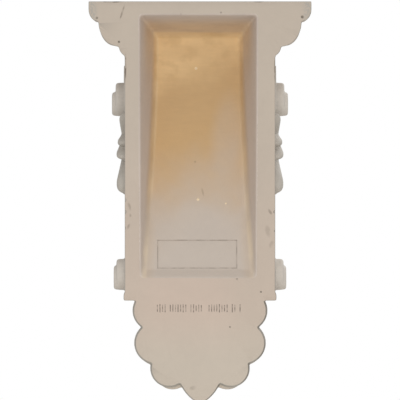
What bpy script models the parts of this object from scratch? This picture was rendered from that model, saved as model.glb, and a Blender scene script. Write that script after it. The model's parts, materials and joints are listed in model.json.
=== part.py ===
"""A moulded scroll corbel: a cap moulding over a scrolled block with volutes and acanthus
leaves, a pendant leaf below its foot, and a tapering hollow in its back.

Metres, +Z up. The back lies in the wall plane Y = 0 and the front faces -Y. Z = 0 is the
foot of the block, where the pendant leaf starts, and X = 0 is the middle.
"""

import math

import bmesh
import bpy
from mathutils import Matrix, Vector

# Overall sizes
BLOCK_HALF_WIDTH = 0.067
BLOCK_HEIGHT = 0.2664
CAP_HALF_WIDTH = 0.0992
CAP_DEPTH = 0.127
PENDANT_DROP = 0.0928

# Cap moulding, from the top down
FASCIA_HEIGHT = 0.0077
BEAD_HEIGHT = 0.0093
BEAD_INSET = 0.0048
BEAD_BULGE = 0.0012
OVOLO_STEP = 0.0040
OVOLO_DROP = 0.0012
OVOLO_HEIGHT = 0.0220
OVOLO_RUN = 0.0182
CARVED_OVOLO_SUNK = 0.0026
NECK_HEIGHT = 0.0080
NECK_OVERHANG = 0.0004
NECK_HOLLOW = 0.0013
TONGUE_PITCH = 0.0265
TONGUE_HALF_WIDTH = 0.0108
TONGUE_HEIGHT = 0.0026
TONGUE_CLEAR_OF_WALL = 0.0195
TONGUE_CLEAR_OF_EDGES = (0.0014, 0.0022)
CORNER_LEAF_WRAP = 0.5
PLAIN_CAP_END = 0.0080

# Scrolled block, with depths measured from the wall
UPPER_ROLL_RADIUS = 0.040
UPPER_ROLL_SETBACK = 0.025
UPPER_ROLL_DROP = 0.0874
LOWER_ROLL_RADIUS = 0.020
LOWER_ROLL_DEPTH = 0.027
LOWER_ROLL_RISE = 0.0226
SWEEP_LEAVES_AT = -50.0
SWEEP_ARRIVES_AT = 30.0
LOWER_ROLL_ENDS_AT = -75.0
SWEEP_PULL_UPPER = 0.100
SWEEP_PULL_LOWER = 0.080
BAND_WIDTH = 0.0085
BAND_HEIGHT = 0.0024
BAND_OVERHANG = 0.0006
SIDE_RECESS = 0.0036
PLAIN_SIDE_END = 0.0075
FOOT_FILLET_HEIGHT = 0.0058
FOOT_FILLET_OVERHANG = 0.0011
FOOT_FILLET_PROUD = 0.0010

# Volutes on both sides: ribbon, and the stepped boss at its eye
RIBBON_HALF_WIDTH = 0.0042
RIBBON_HEIGHT_UPPER = 0.0016
RIBBON_HEIGHT = 0.0005
RIBBON_INSET = 0.0046
RIBBON_RISES_BELOW = 0.068
RIBBON_TURNS_UPPER = 1.3
RIBBON_TURNS_LOWER = -0.85
UPPER_BOSS_RADIUS = 0.0155
UPPER_BOSS_HEIGHT = 0.0088
UPPER_EYE_RADIUS = 0.0110
UPPER_EYE_HEIGHT = 0.0121
UPPER_EYE_OFFSET = 0.0040
LOWER_BOSS_RADIUS = 0.0143
LOWER_BOSS_HEIGHT = 0.0077
LOWER_EYE_RADIUS = 0.0112
LOWER_EYE_HEIGHT = 0.0101
LOWER_EYE_OFFSET = 0.0027
BOSS_ROUNDING = 0.0020

# Hollow in the back
HOLLOW_TOP_RIM = 0.0121
HOLLOW_FOOT_RIM = 0.0207
HOLLOW_SIDE_RIM_TOP = 0.0149
HOLLOW_SIDE_RIM_FOOT = 0.0160
HOLLOW_FRONT_WALL = 0.042
HOLLOW_DEPTH_FOOT = 0.007
HOLLOW_OFFSET = 0.0016
HOLLOW_SIDE_DRAFT = math.radians(11.9)
HOLLOW_TOP_DRAFT = math.radians(14.3)
HOLLOW_FLOOR_ROUNDING = 0.0070
HOLLOW_SHARP_ANGLE = math.radians(50)
HOLLOW_STEPS = 9
LABEL_WIDTH = 0.0706
LABEL_HEIGHT = 0.0248
LABEL_RECESS = 0.0007
LABEL_CLEAR_OF_FOOT = 0.0010
LABEL_OFFSET = 0.0009

# Pendant leaf: the three lobes of one side as (distance to the side, height, radius), and its
# tip, all as shares of the drop, and its thickness
PENDANT_LOBES = ((0.455, -0.097, 0.194), (0.428, -0.409, 0.205), (0.296, -0.652, 0.183))
PENDANT_TIP_HALF_WIDTH = 0.185
PENDANT_TIP_START = -0.816
PENDANT_TIP_BULGE = 0.022
PENDANT_THICKNESS = 0.0095
PENDANT_CROWN = 0.0085
PENDANT_FLARE = 0.0014
PENDANT_EDGE_EASED = 0.0004
PENDANT_FINGER_LENGTH = 0.93
PENDANT_FINGER_WIDTH = 0.90
PENDANT_FINGER_BEND = 0.05
PENDANT_FINGER_CROWNS = (1.0, 0.62)
PENDANT_FINGER_ROOT_RISE = 0.17
PENDANT_FINGER_SPREAD = 0.11
PENDANT_FINGER_AIM = -0.04
PENDANT_MIDRIB_HALF_WIDTH = 0.0105
PENDANT_MIDRIB_CROWNS = (1.3, 0.6)
PENDANT_MIDRIB_SPAN = (0.02, -0.957)

# Front leaf: each pair of lobes as (root, reach to the side, tip, half width, height of the tip).
# Roots and tips are shares of the way down the scroll, and the reach is a share of the field.
FRONT_LEAF_PAIRS = (
    (0.056, 0.893, 0.116, 0.0100, 0.0070),
    (0.128, 0.965, 0.256, 0.0110, 0.0080),
    (0.228, 0.856, 0.403, 0.0112, 0.0088),
    (0.343, 0.583, 0.535, 0.0100, 0.0096),
)
FRONT_LEAF_ROOT_HEIGHT = 0.0060
FRONT_LEAF_TIP = (0.439, 0.647)
FRONT_LEAF_TIP_HALF_WIDTH = 0.0124
FRONT_LEAF_TIP_HEIGHTS = (0.0080, 0.0150)
LEAF_STEM_SPAN = (0.008, 0.567)
LEAF_STEM_HALF_WIDTHS = (0.0052, 0.0030)
LEAF_STEM_HEIGHTS = (0.0085, 0.0095)
LEAF_GROUND_SPAN = (0.008, 0.607)
LEAF_GROUND_HALF_WIDTH = 0.030
LEAF_GROUND_HEIGHT = 0.0045
LEAF_ROOT_OFFSET = 0.004
LEAF_BEND = 0.12
SIDE_FINGER_TURN = 27.0
SIDE_FINGER_LENGTH = 0.76
SIDE_FINGER_WIDTH = 0.86

# Lower leaf: each pair of fingers as (root, reach to the side, tip, half width), in like shares
LOWER_LEAF_PAIRS = ((0.631, 0.546, 0.759, 0.0090), (0.703, 0.474, 0.846, 0.0085))
LOWER_LEAF_HEIGHTS = (0.0040, 0.0055)
LOWER_LEAF_TIP = (0.659, 0.914)
LOWER_LEAF_TIP_HALF_WIDTH = 0.0105
LOWER_LEAF_TIP_HEIGHTS = (0.0045, 0.0065)
LOWER_LEAF_ROOT_OFFSET = 0.002

# Side leaves: how far their fingers stand off at the root, and each finger as (how far its root
# lies towards the wall from the upper volute's centre and below it, depth of its tip from the
# wall, drop of its tip, half width, height of the tip, bend)
SIDE_LEAF_ROOT_HEIGHT = 0.0030
SIDE_LEAF_FINGERS = (
    (0.010, 0.0330, 0.034, 0.0125, 0.0052, 0.0062, 0.0),
    (0.006, 0.0300, 0.014, 0.0385, 0.0056, 0.0080, 0.10),
    (0.010, 0.0340, 0.011, 0.0515, 0.0056, 0.0094, 0.10),
    (0.020, 0.0520, 0.014, 0.0810, 0.0105, 0.0092, 0.10),
    (0.010, 0.0400, 0.036, 0.0850, 0.0080, 0.0052, 0.10),
)

# How deep carving is rooted in what carries it, how far pieces cross the wall plane, and how
# far plain pieces reach into each other
ROOT_DEPTH = 0.0030
WALL_OVERRUN = 0.0040
LAP = 0.0010

# Half the length over which a line's slope is read
NORMAL_STEP = 0.0020

# Sections of carving, from edge to edge, as (share of the half width, share of the height)
DISHED = ((-1.0, 0.50), (-0.60, 1.0), (0.0, 0.74), (0.60, 1.0), (1.0, 0.50))
ROUNDED = ((-1.0, 0.35), (-0.6, 0.92), (0.0, 1.0), (0.6, 0.92), (1.0, 0.35))
FLAT_RIBBON = ((-0.8, 1.0), (0.8, 1.0))
BAND_SECTION = ((-1.0, 0.85), (-0.75, 1.0), (0.75, 1.0), (1.0, 0.55))

PRIMER_COLOUR = (0.546, 0.468, 0.392, 1.0)

TOP_OVERHANG = CAP_HALF_WIDTH - BLOCK_HALF_WIDTH
NECK_DEPTH = CAP_DEPTH - TOP_OVERHANG
SIDE_PLANE = BLOCK_HALF_WIDTH - SIDE_RECESS
FRONT_FIELD = SIDE_PLANE - BAND_WIDTH
FOOT_DEPTH = LOWER_ROLL_DEPTH + LOWER_ROLL_RADIUS + FOOT_FILLET_PROUD
HOLLOW_DEPTH_TOP = CAP_DEPTH - UPPER_ROLL_SETBACK - HOLLOW_FRONT_WALL
UPPER_CENTRE = (CAP_DEPTH - UPPER_ROLL_SETBACK - UPPER_ROLL_RADIUS, BLOCK_HEIGHT - UPPER_ROLL_DROP)
LOWER_CENTRE = (LOWER_ROLL_DEPTH, LOWER_ROLL_RISE)


def clear_scene():
    for obj in list(bpy.data.objects):
        bpy.data.objects.remove(obj, do_unlink=True)


def new_collection(name):
    collection = bpy.data.collections.new(name)
    bpy.context.scene.collection.children.link(collection)
    return collection


def mesh_object(name, bm, collection):
    bmesh.ops.recalc_face_normals(bm, faces=bm.faces)
    if bm.calc_volume(signed=True) < 0:
        bmesh.ops.reverse_faces(bm, faces=bm.faces)
    mesh = bpy.data.meshes.new(name)
    bm.to_mesh(mesh)
    bm.free()
    obj = bpy.data.objects.new(name, mesh)
    collection.objects.link(obj)
    return obj


def loft(name, rings, collection):
    """A closed solid through rings of equally many points, with flat ends."""
    bm = bmesh.new()
    loops = [[bm.verts.new(point) for point in ring] for ring in rings]
    count = len(loops[0])
    for lower, upper in zip(loops, loops[1:]):
        for i in range(count):
            j = (i + 1) % count
            bm.faces.new((lower[i], lower[j], upper[j], upper[i]))
    bm.faces.new(list(reversed(loops[0])))
    bm.faces.new(loops[-1])
    return mesh_object(name, bm, collection)


def flat_outline(name, points, thickness, placement, collection):
    """A flat closed outline given thickness on both sides of its plane, as a mesh."""
    curve = bpy.data.curves.new(name, "CURVE")
    curve.dimensions = "2D"
    curve.fill_mode = "BOTH"
    curve.extrude = thickness / 2
    spline = curve.splines.new("POLY")
    spline.points.add(len(points) - 1)
    for spot, (u, v) in zip(spline.points, points):
        spot.co = (u, v, 0.0, 1.0)
    spline.use_cyclic_u = True
    drawn = bpy.data.objects.new(name + "_outline", curve)
    collection.objects.link(drawn)
    drawn.matrix_world = placement
    bpy.context.view_layer.update()
    graph = bpy.context.evaluated_depsgraph_get()
    mesh = bpy.data.meshes.new_from_object(drawn.evaluated_get(graph))
    mesh.transform(drawn.matrix_world)
    bpy.data.objects.remove(drawn, do_unlink=True)
    bm = bmesh.new()
    bm.from_mesh(mesh)
    bpy.data.meshes.remove(mesh)
    bmesh.ops.remove_doubles(bm, verts=bm.verts, dist=1e-5)
    return mesh_object(name, bm, collection)


def arc(centre, radius, start, end, count):
    """Points on a circle between two angles in degrees, both ends included."""
    found = []
    for i in range(count + 1):
        angle = math.radians(start + (end - start) * i / count)
        found.append((centre[0] + radius * math.cos(angle), centre[1] + radius * math.sin(angle)))
    return found


def bowed(start, end, bulge, count):
    """Points on the shallow bow between two points that stands bulge to the left of their line."""
    ax, ay = start
    bx, by = end
    length = math.hypot(bx - ax, by - ay)
    left = (-(by - ay) / length, (bx - ax) / length)
    found = []
    for i in range(count + 1):
        t = i / count
        rise = 4 * bulge * t * (1 - t)
        found.append((ax + (bx - ax) * t + left[0] * rise, ay + (by - ay) * t + left[1] * rise))
    return found


def sweep(start, start_pull, end, end_pull, count):
    """Points on the smooth curve that leaves start along one vector and reaches end along another."""
    found = []
    for i in range(count + 1):
        t = i / count
        weights = (2 * t**3 - 3 * t**2 + 1, t**3 - 2 * t**2 + t, 3 * t**2 - 2 * t**3, t**3 - t**2)
        found.append(
            tuple(
                weights[0] * start[k]
                + weights[1] * start_pull[k]
                + weights[2] * end[k]
                + weights[3] * end_pull[k]
                for k in (0, 1)
            )
        )
    return found


def downhill(angle, pull):
    """The clockwise tangent of a circle at an angle in degrees, as long as pull."""
    turn = math.radians(angle)
    return (pull * math.sin(turn), -pull * math.cos(turn))


def front_line(detail):
    """The scroll's front as (depth, height), from under the cap down to the foot."""
    neck_height = BLOCK_HEIGHT - cap_height()
    reach = min(0.95, (neck_height - UPPER_CENTRE[1]) / UPPER_ROLL_RADIUS)
    starts_at = math.degrees(math.asin(reach))
    upper = arc(UPPER_CENTRE, UPPER_ROLL_RADIUS, starts_at, SWEEP_LEAVES_AT, 5 * detail)
    lower = arc(LOWER_CENTRE, LOWER_ROLL_RADIUS, SWEEP_ARRIVES_AT, LOWER_ROLL_ENDS_AT, 4 * detail)
    middle = sweep(
        upper[-1],
        downhill(SWEEP_LEAVES_AT, SWEEP_PULL_UPPER),
        lower[0],
        downhill(SWEEP_ARRIVES_AT, SWEEP_PULL_LOWER),
        7 * detail,
    )
    return upper + middle[1:-1] + lower


def cap_height():
    return FASCIA_HEIGHT + BEAD_HEIGHT + OVOLO_DROP + OVOLO_HEIGHT + NECK_HEIGHT


def ovolo_line(sunk, count):
    """The cap's ovolo as (overhang, height), from its top edge down, sunk below its full form."""
    top = BLOCK_HEIGHT - FASCIA_HEIGHT - BEAD_HEIGHT - OVOLO_DROP
    axis = TOP_OVERHANG - BEAD_INSET - OVOLO_STEP - OVOLO_RUN
    found = []
    for i in range(count + 1):
        turn = 0.5 * math.pi * i / count
        reach = (OVOLO_RUN - sunk) * math.cos(turn)
        found.append((axis + reach, top - (OVOLO_HEIGHT - sunk) * math.sin(turn)))
    return found


def cap_line():
    """The cap moulding as (overhang, height), from the top down, with its carved ovolo sunk."""
    bead_top = BLOCK_HEIGHT - FASCIA_HEIGHT
    bead_foot = (TOP_OVERHANG - BEAD_INSET, bead_top - BEAD_HEIGHT)
    bead = bowed(bead_foot, (TOP_OVERHANG, bead_top), -BEAD_BULGE, 3)[::-1]
    ovolo = ovolo_line(CARVED_OVOLO_SUNK, 5)
    foot = BLOCK_HEIGHT - cap_height()
    neck = bowed((NECK_OVERHANG, foot), (0.99 * ovolo[-1][0], foot + NECK_HEIGHT), -NECK_HOLLOW, 3)[::-1]
    return [(TOP_OVERHANG, BLOCK_HEIGHT)] + bead + ovolo + neck


class Rail:
    """A plane line that can be read at any distance along it, with its outward normal."""

    def __init__(self, points):
        self.points = points
        self.stops = [0.0]
        for a, b in zip(points, points[1:]):
            self.stops.append(self.stops[-1] + math.hypot(b[0] - a[0], b[1] - a[1]))
        self.length = self.stops[-1]

    def spot(self, distance):
        distance = min(max(distance, 0.0), self.length)
        k = 1
        while k < len(self.stops) - 1 and self.stops[k] < distance:
            k += 1
        share = (distance - self.stops[k - 1]) / (self.stops[k] - self.stops[k - 1])
        a, b = self.points[k - 1], self.points[k]
        return (a[0] + (b[0] - a[0]) * share, a[1] + (b[1] - a[1]) * share)

    def outward(self, distance):
        distance = min(max(distance, 0.0), self.length)
        before, after = self.spot(distance - NORMAL_STEP), self.spot(distance + NORMAL_STEP)
        run = (after[0] - before[0], after[1] - before[1])
        length = math.hypot(*run)
        return (-run[1] / length, run[0] / length)


def place_on_front(rail):
    """Carving on the scroll's front: across is X, along is the distance down the scroll."""

    def place(across, along, height):
        depth, up = rail.spot(along)
        out, rise = rail.outward(along)
        return Vector((across, -(depth + out * height), up + rise * height))

    return place


def place_on_side(side):
    """Carving on a sunk side of the block: across is the depth, along is the height."""

    def place(across, along, height):
        return Vector((side * (SIDE_PLANE + height), -across, along))

    return place


def place_on_pendant(across, along, height):
    return Vector((across, -(PENDANT_THICKNESS + height), along))


def place_on_cap_front(rail):
    def place(across, along, height):
        overhang, up = rail.spot(along)
        out, rise = rail.outward(along)
        return Vector((across, -(NECK_DEPTH + overhang + out * height), up + rise * height))

    return place


def place_on_cap_side(rail, side):
    def place(across, along, height):
        overhang, up = rail.spot(along)
        out, rise = rail.outward(along)
        reach = BLOCK_HALF_WIDTH + overhang + out * height
        return Vector((side * reach, -across, up + rise * height))

    return place


def place_on_cap_corner(rail, side):
    """Carving over the cap's mitre: across runs square to the diagonal."""

    def place(across, along, height):
        overhang, up = rail.spot(along)
        out, rise = rail.outward(along)
        reach = overhang + out * height - CORNER_LEAF_WRAP * abs(across)
        skew = math.sqrt(0.5) * across
        return Vector(
            (side * (BLOCK_HALF_WIDTH + reach - skew), -(NECK_DEPTH + reach + skew), up + rise * height)
        )

    return place


def strip(name, stations, section, place, collection):
    """A closed strip of carving. Each station is (across, along, half width, height)."""
    rings = []
    last = len(stations) - 1
    for i, (a, b, half, height) in enumerate(stations):
        before, after = stations[max(i - 1, 0)], stations[min(i + 1, last)]
        run = (after[0] - before[0], after[1] - before[1])
        length = math.hypot(*run)
        square = (-run[1] / length, run[0] / length)
        ring = []
        for share, rise in section:
            ring.append(place(a + square[0] * share * half, b + square[1] * share * half, height * rise))
        for share in (1.0, -1.0):
            ring.append(place(a + square[0] * share * half, b + square[1] * share * half, -ROOT_DEPTH))
        rings.append(ring)
    return loft(name, rings, collection)


def finger(name, root, tip, bend, half, rise, place, collection, section=DISHED, steps=5):
    """A leaf finger that widens from its root and ends round. rise is (at the root, at the tip)."""
    widest, root_width = 0.62, 0.45
    middle = ((root[0] + tip[0]) / 2, (root[1] + tip[1]) / 2)
    control = (middle[0] - (tip[1] - root[1]) * bend, middle[1] + (tip[0] - root[0]) * bend)
    stations = []
    for i in range(steps + 1):
        t = 0.99 * math.sin(0.5 * math.pi * i / steps) ** 1.25
        spot = [
            (1 - t) ** 2 * root[k] + 2 * t * (1 - t) * control[k] + t**2 * tip[k] for k in (0, 1)
        ]
        if t < widest:
            width = root_width + (1 - root_width) * math.sin(0.5 * math.pi * t / widest)
            fall = 0.0
        else:
            beyond = (t - widest) / (1 - widest)
            width = math.sqrt(1 - beyond**2)
            fall = 0.45 * beyond**3
        height = (rise[0] + (rise[1] - rise[0]) * t) * (1 - fall)
        stations.append((spot[0], spot[1], half * width, height))
    return strip(name, stations, section, place, collection)


def scroll_block(collection):
    """The scrolled block, from inside the cap down to the foot, crossing the wall plane."""
    front = front_line(1)
    inside_cap = BLOCK_HEIGHT - FASCIA_HEIGHT
    outline = [(-WALL_OVERRUN, inside_cap), (front[0][0], inside_cap)] + front
    outline += [(FOOT_DEPTH - 4 * LAP, LAP), (-WALL_OVERRUN, LAP)]
    side_on = Matrix(((0, 0, -1, 0), (-1, 0, 0, 0), (0, 1, 0, 0), (0, 0, 0, 1)))
    return flat_outline("corbel", outline, 2 * SIDE_PLANE, side_on, collection)


def block(name, size, middle, collection):
    bm = bmesh.new()
    bmesh.ops.create_cube(bm, size=1.0)
    bmesh.ops.scale(bm, vec=size, verts=bm.verts)
    bmesh.ops.translate(bm, vec=middle, verts=bm.verts)
    return mesh_object(name, bm, collection)


def plain_sides(collection):
    """The full-width edge of the block along the wall, behind the sunk sides."""
    low, high = 2 * LAP, BLOCK_HEIGHT - FASCIA_HEIGHT - BEAD_HEIGHT
    size = (2 * BLOCK_HALF_WIDTH, PLAIN_SIDE_END + WALL_OVERRUN, high - low)
    block("plain_sides", size, (0.0, (WALL_OVERRUN - PLAIN_SIDE_END) / 2, (low + high) / 2), collection)


def cap(collection):
    """The cap moulding, mitred round three sides, and its plain ends against the wall."""
    rings = []
    for overhang, height in cap_line():
        half = BLOCK_HALF_WIDTH + overhang
        front = -(NECK_DEPTH + overhang)
        corners = ((-half, WALL_OVERRUN), (half, WALL_OVERRUN), (half, front), (-half, front))
        rings.append([Vector((x, y, height)) for x, y in corners])
    loft("cap_moulding", rings, collection)
    full = ovolo_line(0.0, 6)
    full = [(full[0][0], full[0][1] + 4 * LAP)] + full + [(full[-1][0] - 2 * LAP, full[-1][1] + 0.4 * LAP)]
    rings = []
    for overhang, height in full:
        half = BLOCK_HALF_WIDTH + overhang
        ends = ((-half, WALL_OVERRUN), (half, WALL_OVERRUN), (half, -PLAIN_CAP_END), (-half, -PLAIN_CAP_END))
        rings.append([Vector((x, y, height)) for x, y in ends])
    loft("cap_ends", rings, collection)


def cap_tongues(collection):
    """Leaf tongues over the cap's ovolo, on its front, its sides and its mitres."""
    rail = Rail(ovolo_line(CARVED_OVOLO_SUNK, 16))
    top, end = TONGUE_CLEAR_OF_EDGES[0], rail.length - TONGUE_CLEAR_OF_EDGES[1]
    rise = (TONGUE_HEIGHT, TONGUE_HEIGHT)

    def tongue(name, across, place):
        finger(name, (across, top), (across, end), 0.0, TONGUE_HALF_WIDTH, rise, place, collection, steps=4)

    mid_overhang = rail.spot(rail.length / 2)[0]
    front_room = BLOCK_HALF_WIDTH + mid_overhang - TONGUE_PITCH / 2
    beside_middle = int((front_room - TONGUE_HALF_WIDTH) / TONGUE_PITCH)
    for i in range(-beside_middle, beside_middle + 1):
        tongue(f"front_tongue_{i}", i * TONGUE_PITCH, place_on_cap_front(rail))
    side_room = NECK_DEPTH + mid_overhang - TONGUE_PITCH / 2 - TONGUE_HALF_WIDTH
    along_side = int((side_room - TONGUE_CLEAR_OF_WALL) / TONGUE_PITCH) + 1
    for side in (-1, 1):
        for i in range(along_side):
            depth = TONGUE_CLEAR_OF_WALL + i * TONGUE_PITCH
            tongue(f"side_tongue_{side}_{i}", depth, place_on_cap_side(rail, side))
        tongue(f"corner_tongue_{side}", 0.0, place_on_cap_corner(rail, side))


def foot_fillet(collection):
    """The plain fillet at the foot of the block."""
    size = (2 * (BLOCK_HALF_WIDTH + FOOT_FILLET_OVERHANG), FOOT_DEPTH + WALL_OVERRUN, FOOT_FILLET_HEIGHT)
    block("foot_fillet", size, (0.0, (WALL_OVERRUN - FOOT_DEPTH) / 2, FOOT_FILLET_HEIGHT / 2), collection)


def edge_bands(rail, collection):
    """The raised bands along both edges of the scroll's front."""
    place = place_on_front(rail)
    steps = 13
    for side in (-1, 1):
        across = side * (SIDE_PLANE + BAND_OVERHANG - BAND_WIDTH / 2)
        stations = []
        for i in range(steps + 1):
            along = rail.length * (0.01 + 0.97 * i / steps)
            stations.append((across, along, BAND_WIDTH / 2, BAND_HEIGHT))
        mirrored = tuple((-share, rise) for share, rise in reversed(BAND_SECTION))
        ordered = BAND_SECTION if side > 0 else mirrored
        strip(f"edge_band_{side}", stations, ordered, place, collection)


def spiral(centre, radii, start, turns, count):
    """Points that wind from the first radius to the second, anticlockwise for positive turns."""
    found = []
    for i in range(count + 1):
        t = i / count
        radius = radii[0] * (radii[1] / radii[0]) ** t
        angle = math.radians(start + 360 * turns * t)
        found.append((centre[0] + radius * math.cos(angle), centre[1] + radius * math.sin(angle)))
    return found


def ribbon_path():
    """The side's scroll ribbon: out of the upper eye, down inside the front line, into the lower eye."""
    radii = (UPPER_ROLL_RADIUS - RIBBON_INSET, 0.9 * UPPER_BOSS_RADIUS)
    upper = spiral(UPPER_CENTRE, radii, SWEEP_LEAVES_AT, RIBBON_TURNS_UPPER, 20)
    radii = (LOWER_ROLL_RADIUS - RIBBON_INSET, 0.85 * LOWER_BOSS_RADIUS)
    lower = spiral(LOWER_CENTRE, radii, SWEEP_ARRIVES_AT, RIBBON_TURNS_LOWER, 10)
    drawn = Rail(sweep(
        on_front_circle(UPPER_CENTRE, UPPER_ROLL_RADIUS, SWEEP_LEAVES_AT),
        downhill(SWEEP_LEAVES_AT, SWEEP_PULL_UPPER),
        on_front_circle(LOWER_CENTRE, LOWER_ROLL_RADIUS, SWEEP_ARRIVES_AT),
        downhill(SWEEP_ARRIVES_AT, SWEEP_PULL_LOWER),
        24,
    ))
    middle = []
    steps = 9
    for i in range(1, steps):
        along = drawn.length * i / steps
        spot, out = drawn.spot(along), drawn.outward(along)
        middle.append((spot[0] - out[0] * RIBBON_INSET, spot[1] - out[1] * RIBBON_INSET))
    return upper[::-1] + middle + lower


def on_front_circle(centre, radius, angle):
    return arc(centre, radius, angle, angle, 1)[0]


def boss(name, side, centre, radius, height, collection):
    """A round boss that stands out of a side, with a rounded outer edge."""
    bm = bmesh.new()
    bmesh.ops.create_cone(
        bm, cap_ends=True, segments=22, radius1=radius, radius2=0.96 * radius, depth=height + ROOT_DEPTH
    )
    turn = Matrix.Rotation(side * math.pi / 2, 4, "Y")
    reach = SIDE_PLANE + (height - ROOT_DEPTH) / 2
    shift = Matrix.Translation((side * reach, -centre[0], centre[1]))
    bmesh.ops.transform(bm, matrix=shift @ turn, verts=bm.verts)
    outer = [e for e in bm.edges if all(abs(v.co.x) > SIDE_PLANE + 0.9 * height for v in e.verts)]
    bmesh.ops.bevel(bm, geom=outer, offset=BOSS_ROUNDING, segments=1, profile=0.6, affect="EDGES")
    return mesh_object(name, bm, collection)


def volutes(collection):
    """The scroll ribbons and the bosses of both sides. A ribbon stands prouder round its upper eye."""
    path = ribbon_path()
    for side in (-1, 1):
        stations = []
        for depth, up in path:
            above = up - UPPER_CENTRE[1] + RIBBON_RISES_BELOW
            near_top = min(max(above / UPPER_ROLL_RADIUS, 0.0), 1.0)
            proud = RIBBON_HEIGHT + (RIBBON_HEIGHT_UPPER - RIBBON_HEIGHT) * near_top
            stations.append((depth, up, RIBBON_HALF_WIDTH, SIDE_RECESS + proud))
        strip(f"ribbon_{side}", stations, FLAT_RIBBON, place_on_side(side), collection)
        steps = (
            ("upper_boss", UPPER_CENTRE, 0.0, UPPER_BOSS_RADIUS, UPPER_BOSS_HEIGHT),
            ("upper_eye", UPPER_CENTRE, UPPER_EYE_OFFSET, UPPER_EYE_RADIUS, UPPER_EYE_HEIGHT),
            ("lower_boss", LOWER_CENTRE, 0.0, LOWER_BOSS_RADIUS, LOWER_BOSS_HEIGHT),
            ("lower_eye", LOWER_CENTRE, LOWER_EYE_OFFSET, LOWER_EYE_RADIUS, LOWER_EYE_HEIGHT),
        )
        for name, centre, offset, radius, height in steps:
            middle = (centre[0], centre[1] - offset)
            boss(f"{name}_{side}", side, middle, radius, SIDE_RECESS + height, collection)


def side_leaves(collection):
    """The leaf under each upper volute: fingers that fan back towards the wall and down."""
    for side in (-1, 1):
        place = place_on_side(side)
        for i, (setback, start, depth, drop, half, rise, bend) in enumerate(SIDE_LEAF_FINGERS):
            root = (UPPER_CENTRE[0] - setback, UPPER_CENTRE[1] - start)
            tip = (depth, UPPER_CENTRE[1] - drop)
            heights = (SIDE_RECESS + SIDE_LEAF_ROOT_HEIGHT, SIDE_RECESS + rise)
            name = f"side_leaf_{side}_{i}"
            finger(name, root, tip, bend, half, heights, place, collection, ROUNDED)


def lobe(name, root, tip, bend, half, rise, place, collection):
    """A leaf lobe of three fingers: a long one between two shorter ones."""
    run = Vector((tip[0] - root[0], tip[1] - root[1]))
    for i, turn in enumerate((-SIDE_FINGER_TURN, SIDE_FINGER_TURN, 0.0)):
        length, width = (SIDE_FINGER_LENGTH, SIDE_FINGER_WIDTH) if turn else (1.0, 1.0)
        way = Matrix.Rotation(math.radians(turn), 2) @ run * length
        end = (root[0] + way.x, root[1] + way.y)
        finger(f"{name}_{i}", root, end, bend, half * width, rise, place, collection, steps=4)


def front_leaf(rail, collection):
    """The acanthus leaf that falls over the scroll's front, its lobes in pairs, its tip lifted."""
    place = place_on_front(rail)
    start, end = (share * rail.length for share in LEAF_GROUND_SPAN)
    ground = []
    for share in (0.0, 0.4, 0.75, 1.0):
        half = LEAF_GROUND_HALF_WIDTH * math.sqrt(1 - 0.8 * share**2)
        ground.append((0.0, start + (end - start) * share, half, LEAF_GROUND_HEIGHT))
    strip("leaf_ground", ground, ROUNDED, place, collection)
    for i, (start, reach, end, half, rise) in enumerate(FRONT_LEAF_PAIRS):
        for side in (-1, 1):
            root = (side * LEAF_ROOT_OFFSET, start * rail.length)
            tip = (side * reach * FRONT_FIELD, end * rail.length)
            heights = (FRONT_LEAF_ROOT_HEIGHT, rise)
            lobe(f"leaf_{i}_{side}", root, tip, side * LEAF_BEND, half, heights, place, collection)
    root, tip = ((0.0, share * rail.length) for share in FRONT_LEAF_TIP)
    lobe("leaf_tip", root, tip, 0.0, FRONT_LEAF_TIP_HALF_WIDTH, FRONT_LEAF_TIP_HEIGHTS, place, collection)
    start, end = (share * rail.length for share in LEAF_STEM_SPAN)
    stem = []
    for share in (0.0, 0.25, 0.5, 0.75, 1.0):
        half = LEAF_STEM_HALF_WIDTHS[0] + (LEAF_STEM_HALF_WIDTHS[1] - LEAF_STEM_HALF_WIDTHS[0]) * share
        height = LEAF_STEM_HEIGHTS[0] + (LEAF_STEM_HEIGHTS[1] - LEAF_STEM_HEIGHTS[0]) * share
        stem.append((0.0, start + (end - start) * share, half, height))
    strip("leaf_stem", stem, ROUNDED, place, collection)


def lower_leaf(rail, collection):
    """The small leaf that lies over the lower roll."""
    place = place_on_front(rail)
    for i, (start, reach, end, half) in enumerate(LOWER_LEAF_PAIRS):
        for side in (-1, 1):
            root = (side * LOWER_LEAF_ROOT_OFFSET, start * rail.length)
            tip = (side * reach * FRONT_FIELD, end * rail.length)
            name, bend = f"low_leaf_{i}_{side}", side * LEAF_BEND
            finger(name, root, tip, bend, half, LOWER_LEAF_HEIGHTS, place, collection, steps=4)
    root, tip = ((0.0, share * rail.length) for share in LOWER_LEAF_TIP)
    half, heights = LOWER_LEAF_TIP_HALF_WIDTH, LOWER_LEAF_TIP_HEIGHTS
    finger("low_leaf_tip", root, tip, 0.0, half, heights, place, collection)


def meeting(first, second):
    """The outer point where two lobes' circles cross."""
    (ax, ay, ar), (bx, by, br) = first, second
    gap = math.hypot(bx - ax, by - ay)
    along = (ar * ar - br * br + gap * gap) / (2 * gap)
    off = math.sqrt(max(ar * ar - along * along, 0.0))
    ux, uy = (bx - ax) / gap, (by - ay) / gap
    spots = [(ax + ux * along - s * uy * off, ay + uy * along + s * ux * off) for s in (-1, 1)]
    return max(spots, key=lambda p: p[0])


def bearing(lobe_circle, spot):
    return math.degrees(math.atan2(spot[1] - lobe_circle[1], spot[0] - lobe_circle[0]))


def pendant_lobes():
    """Each lobe of one side of the pendant as (distance to the side, height, radius)."""
    return [tuple(share * PENDANT_DROP for share in lobe_shares) for lobe_shares in PENDANT_LOBES]


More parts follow.
